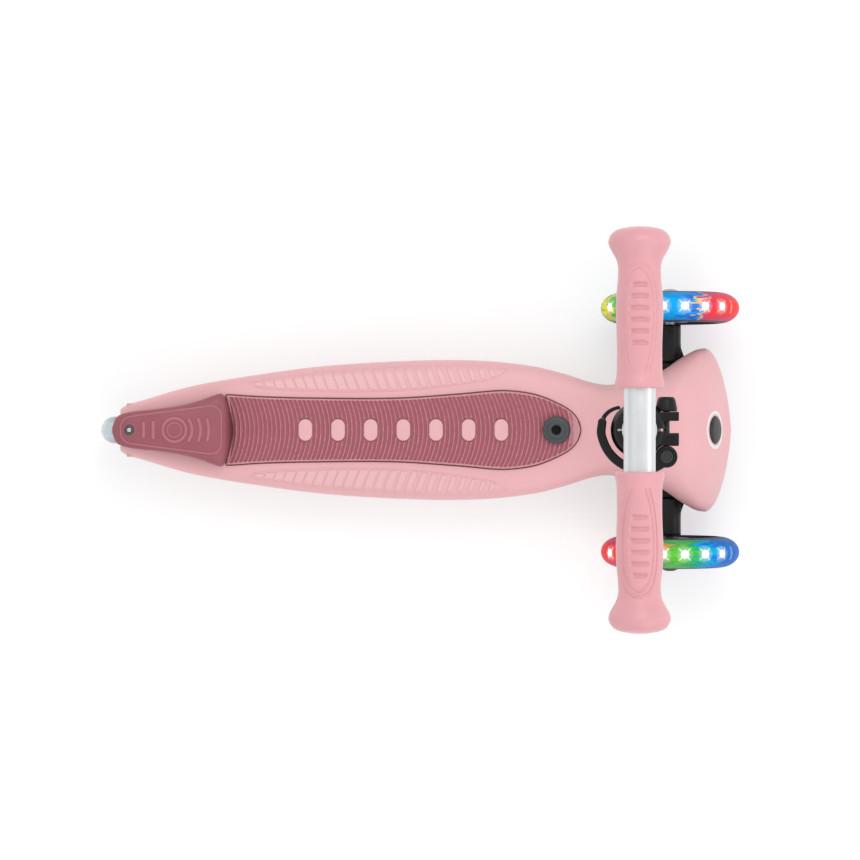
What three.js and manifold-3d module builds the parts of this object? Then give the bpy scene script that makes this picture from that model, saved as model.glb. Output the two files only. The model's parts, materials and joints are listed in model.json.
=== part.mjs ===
// Three-wheeled kick scooter that steers by leaning.
// Millimetres. +X is forward, +Y is the rider's left, +Z is up. The ground is Z = 0.
import * as THREE from 'three';
import { mergeVertices } from 'three/addons/utils/BufferGeometryUtils.js';
import Module from 'manifold-3d';

const wasm = await Module();
wasm.setup();

// ---------------------------------------------------------------- driving dimensions
const GAP = 0.3; // between pieces that touch on the real scooter

const WHEELBASE = 461;
const FRONT_WHEEL_RADIUS = 60.5;
const REAR_WHEEL_RADIUS = 40;
const FRONT_WHEEL_Y = 106.8;
const FRONT_AXLE_X = (WHEELBASE + REAR_WHEEL_RADIUS - FRONT_WHEEL_RADIUS) / 2;
const REAR_AXLE_X = FRONT_AXLE_X - WHEELBASE;

const DECK_REAR_X = -262;
const DECK_WIDEST_NOSE_X = 250;
const DECK_NOSE_HALF_WIDTH = 71.6;
const DECK_FRONT_X = 274.8;
const DECK_BASE_Z = 45;
const DECK_TOP_Z = 72;
const DECK_WALL = 3.6;
const WHEEL_SLOT_HALF_WIDTH = 14;
const WHEEL_SLOT_FRONT_X = -195;
const DROPOUT_OUTER_Y = 23.4;

const MAT_REAR_X = -164;
const MAT_FRONT_X = 140.8;
const MAT_THICKNESS = 2.8;
const PAD_COUNT = 7;
const PAD_PITCH = 28.5;
const PAD_FIRST_X = -99;
const PAD_HALF_LENGTH = 9.5;
const PAD_HALF_WIDTH = 6;
const PAD_GAP = 1;

const SEAT_SOCKET_X = 119.8;
const SEAT_SOCKET_BORE_RADIUS = 4;

const COLUMN_RAKE = THREE.MathUtils.degToRad(3.72); // the column leans back
const COLUMN_FOOT = new THREE.Vector3(191.5, 0, 78);
const OUTER_TUBE_RADIUS = 17;
const OUTER_TUBE_BORE = 15;
const INNER_TUBE_RADIUS = 11.9;
const INNER_TUBE_BORE = 10.1;
const OUTER_TUBE_LENGTH = 336;
const INNER_TUBE_BOTTOM = 170; // along the column, with the T-bar at its lowest
const BUTTON_HOLE = 186; // height button, along the column
const CROSSBAR_HEIGHT = 578.2; // along the column
const CROSSBAR_RADIUS = 11;
const CROSSBAR_BORE = 9.2;
const CROSSBAR_HALF_LENGTH = 130;
const T_BAR_TRAVEL = 100;

const GRIP_INNER_Y = 28.9;
const GRIP_OUTER_Y = 140;

const COLLAR_RADIUS = 22;
const COLLAR_BOTTOM = 304;
const COLLAR_TOP = 334;
const CLAMP_HEIGHT = 321; // of the clamp bolt, along the column
const CLAMP_BOLT_X = 21;
const CLAMP_BOLT_RADIUS = 2.5;
const LEVER_PIN_Y = -20.5;
const LEVER_HEIGHT = 20;
const CAM_RADIUS = 8.5;

const KINGPIN_TILT = THREE.MathUtils.degToRad(62); // above the horizontal, leaning forward
const KINGPIN_PIVOT = new THREE.Vector3(214, 0, 58);
const KINGPIN_RADIUS = 4.5;
const TRUCK_HUB_RADIUS = 16;
const TRUCK_HUB_HALF_HEIGHT = 6;
const BUSHING_HEIGHT = 9;

const BUTTON_X = 258;
const BUTTON_RADIUS = 11.7;
const BUTTON_TRAVEL = 5;

const BRAKE_PIVOT = new THREE.Vector3(-176, 0, 83);
const BRAKE_WALL = 3;
const BRAKE_PIN_RADIUS = 2.5;
const BRAKE_EAR_INNER_Y = 12;
const BRAKE_EAR_OUTER_Y = 16;
const BRAKE_SCREW_X = -251;

const AXLE_RADIUS = 3.9;
const BEARING_RADIUS = 11;
const BEARING_BORE = 4.2;
const BEARING_WIDTH = 7;
const BEARING_Y = 8.7; // of a bearing's middle, from the middle of its wheel

const UP = new THREE.Vector3(0, 0, 1);
const LEFT = new THREE.Vector3(0, 1, 0);
const KINGPIN_AXIS = new THREE.Vector3(Math.cos(KINGPIN_TILT), 0, Math.sin(KINGPIN_TILT));

// ---------------------------------------------------------------- materials
function finish(colour, roughness, metalness = 0) {
  return new THREE.MeshStandardMaterial({ color: colour, roughness, metalness });
}

const PINK = '#ecbcbf';
const BURGUNDY = '#b06974';
const BLACK = '#2c2d2e';
const DARK_GREY = '#56595b';
const SILVER = '#dcdedf';
const STEEL = '#9a9c9f';
const LIGHT_TYRE = '#5aa6c9';
const REAR_TYRE = '#bfcbcf';

// ---------------------------------------------------------------- geometry helpers
function signedVolume(geometry) {
  const place = geometry.attributes.position;
  const index = geometry.index;
  const a = new THREE.Vector3();
  const b = new THREE.Vector3();
  const c = new THREE.Vector3();
  let total = 0;
  for (let i = 0; i < index.count; i += 3) {
    a.fromBufferAttribute(place, index.getX(i));
    b.fromBufferAttribute(place, index.getX(i + 1));
    c.fromBufferAttribute(place, index.getX(i + 2));
    total += a.dot(b.cross(c)) / 6;
  }
  return total;
}

// One closed skin: shared vertices merged, empty triangles dropped and faces turned outward.
function closed(source) {
  const bare = source.clone();
  for (const name of ['normal', 'uv']) {
    bare.deleteAttribute(name);
  }
  const skin = mergeVertices(bare, 1e-4);
  const kept = [];
  for (let i = 0; i < skin.index.count; i += 3) {
    const [a, b, c] = [0, 1, 2].map((k) => skin.index.getX(i + k));
    if (a !== b && b !== c && c !== a) {
      kept.push(a, b, c);
    }
  }
  skin.setIndex(kept);
  if (signedVolume(skin) < 0) {
    for (let i = 0; i < kept.length; i += 3) {
      [kept[i], kept[i + 1]] = [kept[i + 1], kept[i]];
    }
    skin.setIndex(kept);
  }
  return skin;
}

function solid(geometry) {
  const skin = closed(geometry);
  return new wasm.Manifold(
    new wasm.Mesh({
      numProp: 3,
      vertProperties: new Float32Array(skin.attributes.position.array),
      triVerts: new Uint32Array(skin.index.array),
    }),
  );
}

function joined(...geometries) {
  return geometries.map(solid).reduce((whole, next) => whole.add(next));
}

function cut(whole, ...geometries) {
  return geometries.map(solid).reduce((rest, next) => rest.subtract(next), whole);
}

function skinOf(shape) {
  const mesh = shape.getMesh();
  const geometry = new THREE.BufferGeometry();
  geometry.setAttribute('position', new THREE.BufferAttribute(mesh.vertProperties, 3));
  geometry.setIndex(new THREE.BufferAttribute(mesh.triVerts, 1));
  return geometry;
}

function block(centre, size) {
  return new THREE.BoxGeometry(...size).translate(...centre);
}

// A profile of [radius, height] points turned about Z.
function turned(profile, segments = 24) {
  const points = profile.map(([radius, height]) => new THREE.Vector2(radius, height));
  return new THREE.LatheGeometry(points, segments).rotateX(Math.PI / 2);
}

function ring(inner, outer, bottom, top, segments) {
  const profile = [[inner, bottom], [outer, bottom], [outer, top], [inner, top], [inner, bottom]];
  return turned(profile, segments);
}

// Moves a shape made about Z so that it starts at a point and runs along a direction.
function aimed(geometry, start, direction) {
  const turn = new THREE.Quaternion().setFromUnitVectors(UP, direction.clone().normalize());
  return geometry.applyQuaternion(turn).translate(start.x, start.y, start.z);
}

function rod(start, end, radius, segments = 16) {
  const along = end.clone().sub(start);
  const length = along.length();
  const profile = [[0, 0], [radius, 0], [radius, length], [0, length]];
  return aimed(turned(profile, segments), start, along);
}

// A round bar across the scooter, at a place in the X-Z plane.
function crossRod(x, z, y0, y1, radius, segments = 16) {
  return rod(new THREE.Vector3(x, y0, z), new THREE.Vector3(x, y1, z), radius, segments);
}

function hexNut(bore, outer, bottom, top) {
  return ring((bore + GAP) / Math.cos(Math.PI / 6), outer, bottom, top, 6);
}

function polygon(points) {
  return new THREE.Shape(points.map(([x, y]) => new THREE.Vector2(x, y)));
}

// A flat shape given height along Z, from a base height upward.
function slab(shape, base, height, curveSegments = 8) {
  const options = { depth: height, bevelEnabled: false, curveSegments };
  return new THREE.ExtrudeGeometry(shape, options).translate(0, 0, base);
}

// A side profile in X and Z given thickness along Y, from y0 to y1.
function sidePlate(shape, y0, y1, curveSegments = 8) {
  const plate = slab(shape, 0, y1 - y0, curveSegments).rotateX(Math.PI / 2);
  return plate.translate(0, y1, 0);
}

// A skin over cross-sections that all have the same number of points.
function lofted(sections) {
  const count = sections[0].length;
  const points = sections.flat();
  const index = [];
  for (let s = 0; s + 1 < sections.length; s += 1) {
    for (let k = 0; k < count; k += 1) {
      const a = s * count + k;
      const b = s * count + ((k + 1) % count);
      index.push(a, b, a + count, b, b + count, a + count);
    }
  }
  const last = (sections.length - 1) * count;
  for (let k = 1; k + 1 < count; k += 1) {
    index.push(0, k + 1, k);
    index.push(last, last + k, last + k + 1);
  }
  return new THREE.BufferGeometry().setFromPoints(points).setIndex(index);
}

// A smooth value along x through a few [x, value] knots, level or sloped by its neighbours.
function curveThrough(knots) {
  const slope = (i) => {
    const before = knots[Math.max(i - 1, 0)];
    const after = knots[Math.min(i + 1, knots.length - 1)];
    return (after[1] - before[1]) / (after[0] - before[0]);
  };
  return (x) => {
    const place = THREE.MathUtils.clamp(x, knots[0][0], knots.at(-1)[0]);
    const found = knots.findIndex((knot) => knot[0] >= place);
    const i = Math.max(found, 1);
    const [x0, v0] = knots[i - 1];
    const [x1, v1] = knots[i];
    const span = x1 - x0;
    const t = (place - x0) / span;
    const t2 = t * t;
    const t3 = t2 * t;
    const start = v0 * (2 * t3 - 3 * t2 + 1) + slope(i - 1) * span * (t3 - 2 * t2 + t);
    return start + v1 * (3 * t2 - 2 * t3) + slope(i) * span * (t3 - t2);
  };
}

// A coil of round wire about Z, from height 0 to its length.
class Coil extends THREE.Curve {
  constructor(radius, length, turns) {
    super();
    Object.assign(this, { radius, length, turns });
  }

  getPoint(t) {
    const angle = 2 * Math.PI * this.turns * t;
    const x = this.radius * Math.cos(angle);
    const y = this.radius * Math.sin(angle);
    return new THREE.Vector3(x, y, this.length * t);
  }
}

function wireCoil(radius, length, turns, wireRadius) {
  const wire = new THREE.Shape().absarc(0, 0, wireRadius, 0, 2 * Math.PI);
  const steps = Math.round(turns * 9);
  const extrudePath = new Coil(radius, length, turns);
  return new THREE.ExtrudeGeometry(wire, { steps, extrudePath, curveSegments: 3 });
}

// ---------------------------------------------------------------- assembly
const scooter = new THREE.Group();

const column = new THREE.Group();
column.position.copy(COLUMN_FOOT);
column.rotation.y = -COLUMN_RAKE;
scooter.add(column);

function addPiece(name, shape, material, parent = scooter) {
  const geometry = shape.isBufferGeometry ? closed(shape) : skinOf(shape);
  geometry.computeVertexNormals();
  const mesh = new THREE.Mesh(geometry, material);
  mesh.name = name;
  parent.add(mesh);
  return mesh;
}

// ---------------------------------------------------------------- deck and nose
const deckPlan = curveThrough([
  [-262, 19], [-257, 21.9], [-240, 27], [-200, 38.5], [-148, 47.7], [-82, 56.4], [0, 61.2],
  [55, 61], [100, 56.2], [128, 49.4], [153, 41.6], [169, 40], [190, 45], [211, 51.2],
  [230, 63.8], [242, 70], [DECK_WIDEST_NOSE_X, DECK_NOSE_HALF_WIDTH],
]);
const deckRidge = curveThrough([
  [-262, 60], [-252, 68], [-236, 72], [-200, 73], [-160, DECK_TOP_Z], [104, DECK_TOP_Z],
  [125, 74], [145, 80], [165, 91], [185, 104], [205, 113], [222, 115], [236, 111],
  [246, 103], [254, 92], [262, 77], [269, 62], [DECK_FRONT_X, 51],
]);

// Lower edge of the shell: level, with an arch on each side over the truck's arms.
const deckEdge = curveThrough([
  [-262, DECK_BASE_Z], [180, DECK_BASE_Z], [186, DECK_BASE_Z], [189, 62], [194, 74], [202, 79],
  [232, 79], [240, 76], [245, 70], [250, 63], [256, 56], [263, 50], [269, 46.5],
  [DECK_FRONT_X, DECK_BASE_Z],
]);

function deckHalfWidth(x) {
  if (x <= DECK_WIDEST_NOSE_X) {
    return deckPlan(x);
  }
  const reach = Math.min((x - DECK_WIDEST_NOSE_X) / (DECK_FRONT_X - DECK_WIDEST_NOSE_X), 1);
  return DECK_NOSE_HALF_WIDTH * (1 - reach ** 2) ** 0.62;
}

// How square the cross-section's shoulders are: boxy along the deck, rounder over the nose.
function deckSquareness(x) {
  return THREE.MathUtils.lerp(5, 2.4, THREE.MathUtils.smoothstep(x, 110, 205));
}

function archSection(x, halfWidth, base, top, squareness, steps) {
  const points = [];
  for (let k = 0; k <= steps; k += 1) {
    const angle = (Math.PI * k) / steps;
    const across = Math.sign(Math.cos(angle)) * Math.abs(Math.cos(angle)) ** (2 / squareness);
    const up = Math.sin(angle) ** (2 / squareness);
    points.push(new THREE.Vector3(x, halfWidth * across, base + (top - base) * up));
  }
  return points;
}

// Evenly spaced along the deck, closer over the neck and the arches, and closest at the tip.
function deckStations() {
  const neck = 150;
  const rearCount = 14;
  const rear = Array.from({ length: rearCount }, (_, i) =>
    THREE.MathUtils.lerp(DECK_REAR_X, neck, i / rearCount));
  return [
    ...rear, 150, 162, 174, 184, 188, 191, 196, 203, 215, 228, 236, 241, 245, 248, 252, 257, 262,
    266, 269.5, 272, 273.8, DECK_FRONT_X,
  ];
}

function deckOutside() {
  return lofted(deckStations().map((x) =>
    archSection(x, Math.max(deckHalfWidth(x), 1), deckEdge(x), deckRidge(x), deckSquareness(x), 14)));
}

// The space under the shell, open below, from behind the nose's front wall to the rear fork.
function deckInside() {
  const rearEnd = -184;
  const frontEnd = DECK_FRONT_X - 4.5;
  const reach = 3; // the inside follows the outside this far ahead, to keep the sloped front thick
  const openBelow = 30;
  const stations = deckStations().filter((x) => x > rearEnd && x < frontEnd);
  return lofted([rearEnd, ...stations, frontEnd].map((x) => {
    const halfWidth = Math.max(deckHalfWidth(x + reach) - DECK_WALL, 1);
    const top = deckRidge(x + reach) - DECK_WALL;
    return archSection(x, halfWidth, openBelow, top, deckSquareness(x) + 1, 10);
  }));
}

function deckRibs() {
  const ribs = [-16, 16].map((y) => block([-10, y, DECK_TOP_Z - 10], [350, 2.4, 30]));
  for (let x = -130; x <= 140; x += 90) {
    ribs.push(block([x, 0, DECK_TOP_Z - 8], [2.4, 130, 26]));
  }
  return ribs;
}

// A point on the column's axis, at a distance along it from its foot.
function onColumn(along) {
  const sideways = -Math.sin(COLUMN_RAKE) * along;
  return new THREE.Vector3(COLUMN_FOOT.x + sideways, 0, COLUMN_FOOT.z + Math.cos(COLUMN_RAKE) * along);
}

function onSocket(height) {
  return new THREE.Vector3(SEAT_SOCKET_X, 0, height);
}

function onKingpin(along) {
  return KINGPIN_PIVOT.clone().addScaledVector(KINGPIN_AXIS, along);
}

const buttonSlope = (deckRidge(BUTTON_X + 3) - deckRidge(BUTTON_X - 3)) / 6;
const buttonNormal = new THREE.Vector3(-buttonSlope, 0, 1).normalize();
const buttonFace = new THREE.Vector3(BUTTON_X, 0, deckRidge(BUTTON_X));

function onButton(depth) {
  return buttonFace.clone().addScaledVector(buttonNormal, -depth);
}

// Room under the nose for the leg of the lock button, at rest and pressed.
function lockLegRoom() {
  return sidePlate(polygon([
    [246.6, 76.5], [240, 79.8], [235, 77.4], [233.2, 71.9], [229, 60], [229, 47], [240, 47], [240.2, 57],
  ]), -3, 3);
}

// Outline of the plate that carries the rear axle below the deck.
function dropoutOutline() {
  const outline = new THREE.Shape();
  outline.moveTo(-190, 62);
  outline.lineTo(-190, 46);
  outline.lineTo(-212, 45);
  outline.lineTo(REAR_AXLE_X + 10, 33);
  outline.absarc(REAR_AXLE_X, 40, 12.5, -0.6, Math.PI + 0.5, true);
  outline.lineTo(-256, 62);
  return outline;
}

function padOutline(grow) {
  const half = PAD_HALF_WIDTH + grow;
  const straight = PAD_HALF_LENGTH - PAD_HALF_WIDTH;
  const outline = new THREE.Shape();
  outline.absarc(0, straight, half, 0, Math.PI);
  outline.absarc(0, -straight, half, Math.PI, 2 * Math.PI);
  return outline;
}

function padColumns(grow, base, height) {
  return Array.from({ length: PAD_COUNT }, (_, i) =>
    slab(padOutline(grow), base, height, 3).translate(PAD_FIRST_X + i * PAD_PITCH, 0, 0));
}

function deckBody() {
  const outside = solid(deckOutside());
  const columnBoss = solid(rod(onColumn(-4), onColumn(60), 21.5, 20)).intersect(outside);
  const kingpinBoss = solid(rod(onKingpin(15.4), onKingpin(60), 12, 14)).intersect(outside);
  const buttonBoss = solid(rod(onButton(14), onButton(-6), 15.5, 16)).intersect(outside);
  const socketBoss = solid(rod(onSocket(67.6), onSocket(90), 14, 12)).intersect(outside);
  const ribs = deckRibs().map(solid).reduce((all, rib) => all.add(rib));
  const hollow = solid(deckInside()).subtract(ribs);
  let body = outside.subtract(hollow).add(columnBoss).add(kingpinBoss).add(buttonBoss).add(socketBoss);
  for (const side of [-1, 1]) {
    const [y0, y1] = [side * WHEEL_SLOT_HALF_WIDTH, side * DROPOUT_OUTER_Y].sort((a, b) => a - b);
    body = body.add(solid(sidePlate(dropoutOutline(), y0, y1, 4)));
    const [ear0, ear1] = [side * BRAKE_EAR_INNER_Y, side * BRAKE_EAR_OUTER_Y].sort((a, b) => a - b);
    const ear = polygon([[-186, 66], [-166, 66], [-171, 88], [-181, 88]]);
    body = body.add(solid(sidePlate(ear, ear0, ear1)));
  }
  const slotLength = 2 * (WHEEL_SLOT_FRONT_X - DECK_REAR_X + 10);
  const axleHead = ring(0.5, 8.5, DROPOUT_OUTER_Y, 45, 12);
  body = cut(
    body,
    block([DECK_REAR_X - 10, 0, 60], [slotLength, 2 * WHEEL_SLOT_HALF_WIDTH, 90]),
    crossRod(REAR_AXLE_X, REAR_WHEEL_RADIUS, -40, 40, AXLE_RADIUS + GAP),
    crossRod(BRAKE_PIVOT.x, BRAKE_PIVOT.z, -20, 20, BRAKE_PIN_RADIUS + GAP, 12),
    rod(onColumn(0), onColumn(80), OUTER_TUBE_RADIUS + GAP, 24),
    rod(onKingpin(0), onKingpin(34.5), KINGPIN_RADIUS + GAP, 12),
    rod(onButton(12), onButton(-10), BUTTON_RADIUS + 2 * GAP, 16),
    rod(onButton(20), onButton(0), 4.4, 10),
    lockLegRoom(),
    rod(onSocket(50), onSocket(90), 8 + GAP, 16),
    rod(onKingpin(-30), onKingpin(15.1), 12.6, 14),
    axleHead.clone().rotateX(-Math.PI / 2).translate(REAR_AXLE_X, 0, REAR_WHEEL_RADIUS),
    axleHead.clone().rotateX(Math.PI / 2).translate(REAR_AXLE_X, 0, REAR_WHEEL_RADIUS),
  );
  const padTop = raisedDeck(GAP + MAT_THICKNESS);
  const pads = padColumns(0, 69, 10).map((pad) => solid(pad).intersect(padTop));
  return pads.reduce((whole, pad) => whole.add(pad), body);
}

addPiece('deck_body', deckBody(), finish(PINK, 0.5));

const socketBase = deckRidge(SEAT_SOCKET_X) + MAT_THICKNESS + 4 * GAP;
const socketTop = socketBase + 4.6;

// ---------------------------------------------------------------- foot mat
const matPlan = curveThrough([
  [MAT_REAR_X, 30.4], [-138, 28.7], [-95, 27.5], [-20, 27.4], [35, 31], [71, 34], [90, 32.8],
  [106, 29.3], [123, 22], [132, 16.5], [138, 9.5], [MAT_FRONT_X, 1],
]);

// The mat's plan: a curved side, a rounded front tip, and a hollow rear edge that follows the brake.
function matOutline() {
  const rearBow = 4.5;
  const side = [];
  for (let x = MAT_REAR_X + 10; x < 110; x += 22) {
    side.push([x, matPlan(x)]);
  }
  side.push(...[118, 126, 132, 136, 139, MAT_FRONT_X].map((x) => [x, matPlan(x)]));
  const corner = [MAT_REAR_X - rearBow, matPlan(MAT_REAR_X)];
  const rear = [1, 0.6, 0.2, -0.2, -0.6, -1].map((v) => [MAT_REAR_X - rearBow * v * v, v * corner[1]]);
  const mirrored = side.map(([x, y]) => [x, -y]).reverse();
  return polygon([...side, ...mirrored, ...rear.reverse()]);
}

function raisedDeck(lift) {
  return solid(deckOutside().translate(0, 0, lift));
}

function deckMat() {
  const plan = solid(slab(matOutline(), 60, 40));
  const mat = plan.intersect(raisedDeck(GAP + MAT_THICKNESS)).subtract(raisedDeck(GAP));
  const barrelHole = rod(onSocket(60), onSocket(90), 8.6, 20);
  const flangeSeat = rod(onSocket(socketBase - GAP), onSocket(90), 12.6, 20);
  return cut(mat, barrelHole, flangeSeat, ...padColumns(PAD_GAP, 60, 30));
}

addPiece('deck_mat', deckMat(), finish(BURGUNDY, 0.7));

// ---------------------------------------------------------------- seat socket
addPiece('seat_socket', turned([
  [0, 60], [7.9, 60], [7.9, socketBase], [12, socketBase], [12, socketBase + 2],
  [10.6, socketBase + 3], [7.6, socketBase + 3.2], [7.6, socketTop], [SEAT_SOCKET_BORE_RADIUS, socketTop],
  [SEAT_SOCKET_BORE_RADIUS, 61.5], [0, 61.5],
], 18).translate(SEAT_SOCKET_X, 0, 0), finish(DARK_GREY, 0.6));
const socketNut = hexNut(8, 13, 61.5, 67.2).translate(SEAT_SOCKET_X, 0, 0);
addPiece('seat_socket_nut', socketNut, finish(STEEL, 0.4, 1));

// ---------------------------------------------------------------- wheels
function bearing(centre) {
  const start = centre.clone().addScaledVector(LEFT, -BEARING_WIDTH / 2);
  return aimed(ring(BEARING_BORE + 0.1, BEARING_RADIUS, 0, BEARING_WIDTH, 16), start, LEFT);
}

// Tyre cross-section: a round tread over a straight seat on the hub.
function tyreProfile(radius, seat, halfWidth, crown) {
  const profile = [[seat, -halfWidth + 2.5]];
  const steps = 6;
  for (let k = 0; k <= steps; k += 1) {
    const angle = Math.PI * (k / steps - 0.5);
    profile.push([radius - crown * (1 - Math.cos(angle)), halfWidth * Math.sin(angle)]);
  }
  profile.push([seat, halfWidth - 2.5], [seat, -halfWidth + 2.5]);
  return profile;
}

// Hub with a dished web on both sides and a pocket for a bearing in each face.
function hubProfile(rim, rimHalfWidth, bossRadius, bossHalfWidth) {
  const pocket = BEARING_RADIUS + GAP;
  const floor = bossHalfWidth - BEARING_WIDTH - 0.5;
  const half = [
    [pocket, bossHalfWidth], [bossRadius, bossHalfWidth], [bossRadius + 2, 4], [rim - 5, 4],
    [rim - 3, rimHalfWidth], [rim, rimHalfWidth],
  ];
  const mirrored = half.map(([radius, height]) => [radius, -height]).reverse();
  return [
    [8.5, floor], [pocket, floor], ...half, ...mirrored, [pocket, -floor], [8.5, -floor], [8.5, floor],
  ];
}

function addFrontWheel(name, side) {
  const centre = new THREE.Vector3(FRONT_AXLE_X, side * FRONT_WHEEL_Y, FRONT_WHEEL_RADIUS);
  const place = (geometry) => aimed(geometry, centre, LEFT);
  const ledSeat = 38.5;
  const tyreSeat = 43.5;
  const tyre = turned(tyreProfile(FRONT_WHEEL_RADIUS, tyreSeat, 13.3, 17), 36);
  addPiece(`${name}_tyre`, place(tyre), finish(LIGHT_TYRE, 0.25));
  const ledRing = ring(ledSeat + GAP, tyreSeat - GAP, -4, 4, 20);
  addPiece(`${name}_led_ring`, place(ledRing), finish('#f4f4ee', 0.4));
  const hub = turned(hubProfile(ledSeat, 10.5, 16, 12.3), 20);
  addPiece(`${name}_hub`, place(hub), finish(DARK_GREY, 0.5));
  for (const [label, reach] of [['outer', side], ['inner', -side]]) {
    const middle = centre.clone().addScaledVector(LEFT, reach * BEARING_Y);
    addPiece(`${name}_bearing_${label}`, bearing(middle), finish(STEEL, 0.3, 1));
  }
  addPiece(`${name}_magnet_core`, place(ring(4.4, 8, -4.5, 4.5, 16)), finish(BLACK, 0.6));
  const axle = turned([
    [0, 0], [AXLE_RADIUS, 0], [AXLE_RADIUS, 53], [7.5, 53], [7.5, 54.5], [6.4, 56.3],
    [3.6, 57.4], [0, 57.7],
  ], 16);
  const start = new THREE.Vector3(FRONT_AXLE_X, side * 66, FRONT_WHEEL_RADIUS);
  const outwards = LEFT.clone().multiplyScalar(side);
  addPiece(`${name}_axle_bolt`, aimed(axle, start, outwards), finish(SILVER, 0.3, 1));
}

addFrontWheel('left', 1);
addFrontWheel('right', -1);

const rearCentre = new THREE.Vector3(REAR_AXLE_X, 0, REAR_WHEEL_RADIUS);
const REAR_TYRE_SEAT = 26;
const onRearAxle = (geometry) => aimed(geometry, rearCentre, LEFT);
const rearTyre = turned(tyreProfile(REAR_WHEEL_RADIUS, REAR_TYRE_SEAT, 12, 12.5), 24);
addPiece('rear_tyre', onRearAxle(rearTyre), finish(REAR_TYRE, 0.3));
const rearHub = turned(hubProfile(REAR_TYRE_SEAT - GAP, 10, 14, 12.3), 20);
addPiece('rear_hub', onRearAxle(rearHub), finish('#e8ebec', 0.5));
for (const [label, side] of [['left', 1], ['right', -1]]) {
  const centre = rearCentre.clone().addScaledVector(LEFT, side * BEARING_Y);
  addPiece(`rear_bearing_${label}`, bearing(centre), finish(STEEL, 0.3, 1));
}
addPiece('rear_bearing_spacer', onRearAxle(ring(4.4, 6, -4.8, 4.8, 16)), finish(STEEL, 0.3, 1));
const headSeat = DROPOUT_OUTER_Y + GAP;
addPiece('rear_axle_bolt', onRearAxle(turned([
  [0, -headSeat - 2.1], [6, -headSeat - 2.1], [6, -headSeat], [AXLE_RADIUS, -headSeat],
  [AXLE_RADIUS, headSeat + 2.1], [0, headSeat + 2.1],
], 16)), finish(STEEL, 0.3, 1));
const rearNut = hexNut(AXLE_RADIUS, 6, headSeat, headSeat + 1.8);
addPiece('rear_axle_nut', onRearAxle(rearNut), finish(STEEL, 0.3, 1));

// ---------------------------------------------------------------- brake
const brakePlan = curveThrough([
  [-266.6, 3], [-264.2, 9.8], [-259, 13.6], [-248, 16.3], [-226, 18.7], [-205, 22.1], [-189, 26.4],
  [-178, 30.4], [-171.5, 31.6], [-168, 27.5], [-164.5, 18], [-161.5, 3],
]);
const brakeRidge = curveThrough([
  [-266.6, 83.4], [-258, 89.2], [-240, 94.5], [-215, 96.5], [-190, 95.5], [-178, 94.8],
  [-172, 93], [-167, 89], [-163.5, 84.4], [-161.5, 81.2],
]);
// The pedal's lower edge stays clear of the tyre at the bottom of the stroke.
const brakeEdge = curveThrough([
  [-266.6, 79], [-262, 81], [-257, 83.2], [-250, 84.9], [-240, 86.5], [-226, 87], [-212, 84.8],
  [-200, 83.8], [-190, 83.5], [-176, 82.5], [-166, 79.5], [-161.5, 76.5],
]);

function brakeStations() {
  const rear = [-266.6, -265.3, -262.6, -258, -251, -240, -226, -212, -200, -189, -180];
  return [...rear, -174, -171.5, -169, -166.5, -164, -162.5, -161.5];
}

function brakeScrewHole() {
  return rod(new THREE.Vector3(BRAKE_SCREW_X, 0, 75), new THREE.Vector3(BRAKE_SCREW_X, 0, 110), 2.3, 12);
}

function brakePedal() {
  const outside = lofted(brakeStations().map((x) =>
    archSection(x, brakePlan(x), brakeEdge(x), brakeRidge(x), 4, 12)));
  const insideStations = brakeStations().filter((x) => x > -260 && x < -165);
  const inside = lofted(insideStations.map((x) =>
    archSection(x, brakePlan(x) - BRAKE_WALL, brakeEdge(x) - 12, brakeRidge(x) - BRAKE_WALL, 8, 8)));
  const knuckleY = BRAKE_EAR_INNER_Y - 0.5;
  const knuckle = joined(
    crossRod(BRAKE_PIVOT.x, BRAKE_PIVOT.z, -knuckleY, knuckleY, 5.4),
    block([BRAKE_PIVOT.x, 0, BRAKE_PIVOT.z + 5], [7, 2 * knuckleY, 9]),
  );
  const shell = solid(outside).subtract(solid(inside)).add(knuckle);
  const pinHole = crossRod(BRAKE_PIVOT.x, BRAKE_PIVOT.z, -14, 14, BRAKE_PIN_RADIUS + GAP, 12);
  return cut(shell, pinHole, brakeScrewHole());
}

addPiece('brake_pedal', brakePedal(), finish(BURGUNDY, 0.6));

const plateTop = curveThrough([[-257, 85.6], [-240, 90.8], [-222, 92.4]]);

function brakePlate() {
  const halfWidth = 8.5;
  const thickness = 3;
  const rows = [-256, -251, -245, -238, -231, -224].map((x) => [
    new THREE.Vector3(x, -halfWidth, plateTop(x) - thickness),
    new THREE.Vector3(x, halfWidth, plateTop(x) - thickness),
    new THREE.Vector3(x, halfWidth, plateTop(x)),
    new THREE.Vector3(x, -halfWidth, plateTop(x)),
  ]);
  return cut(solid(lofted(rows)), brakeScrewHole());
}

addPiece('brake_plate', brakePlate(), finish(STEEL, 0.4, 1));
addPiece('brake_plate_screw', turned([
  [0, 86], [2, 86], [2, 93.1], [4.2, 93.1], [4.2, 94], [2.2, 94.6], [2.2, 93.6], [0, 93.6],
], 12).translate(BRAKE_SCREW_X, 0, 0), finish(SILVER, 0.3, 1));
const brakePin = crossRod(BRAKE_PIVOT.x, BRAKE_PIVOT.z, -17.5, 25, BRAKE_PIN_RADIUS, 12);
addPiece('brake_pivot_pin', brakePin, finish(STEEL, 0.3, 1));
const springStart = BRAKE_PIVOT.clone().setY(BRAKE_EAR_OUTER_Y + 1.4);
addPiece('brake_spring', aimed(wireCoil(4, 6, 3, 0.8), springStart, LEFT), finish(STEEL, 0.3, 1));

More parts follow.
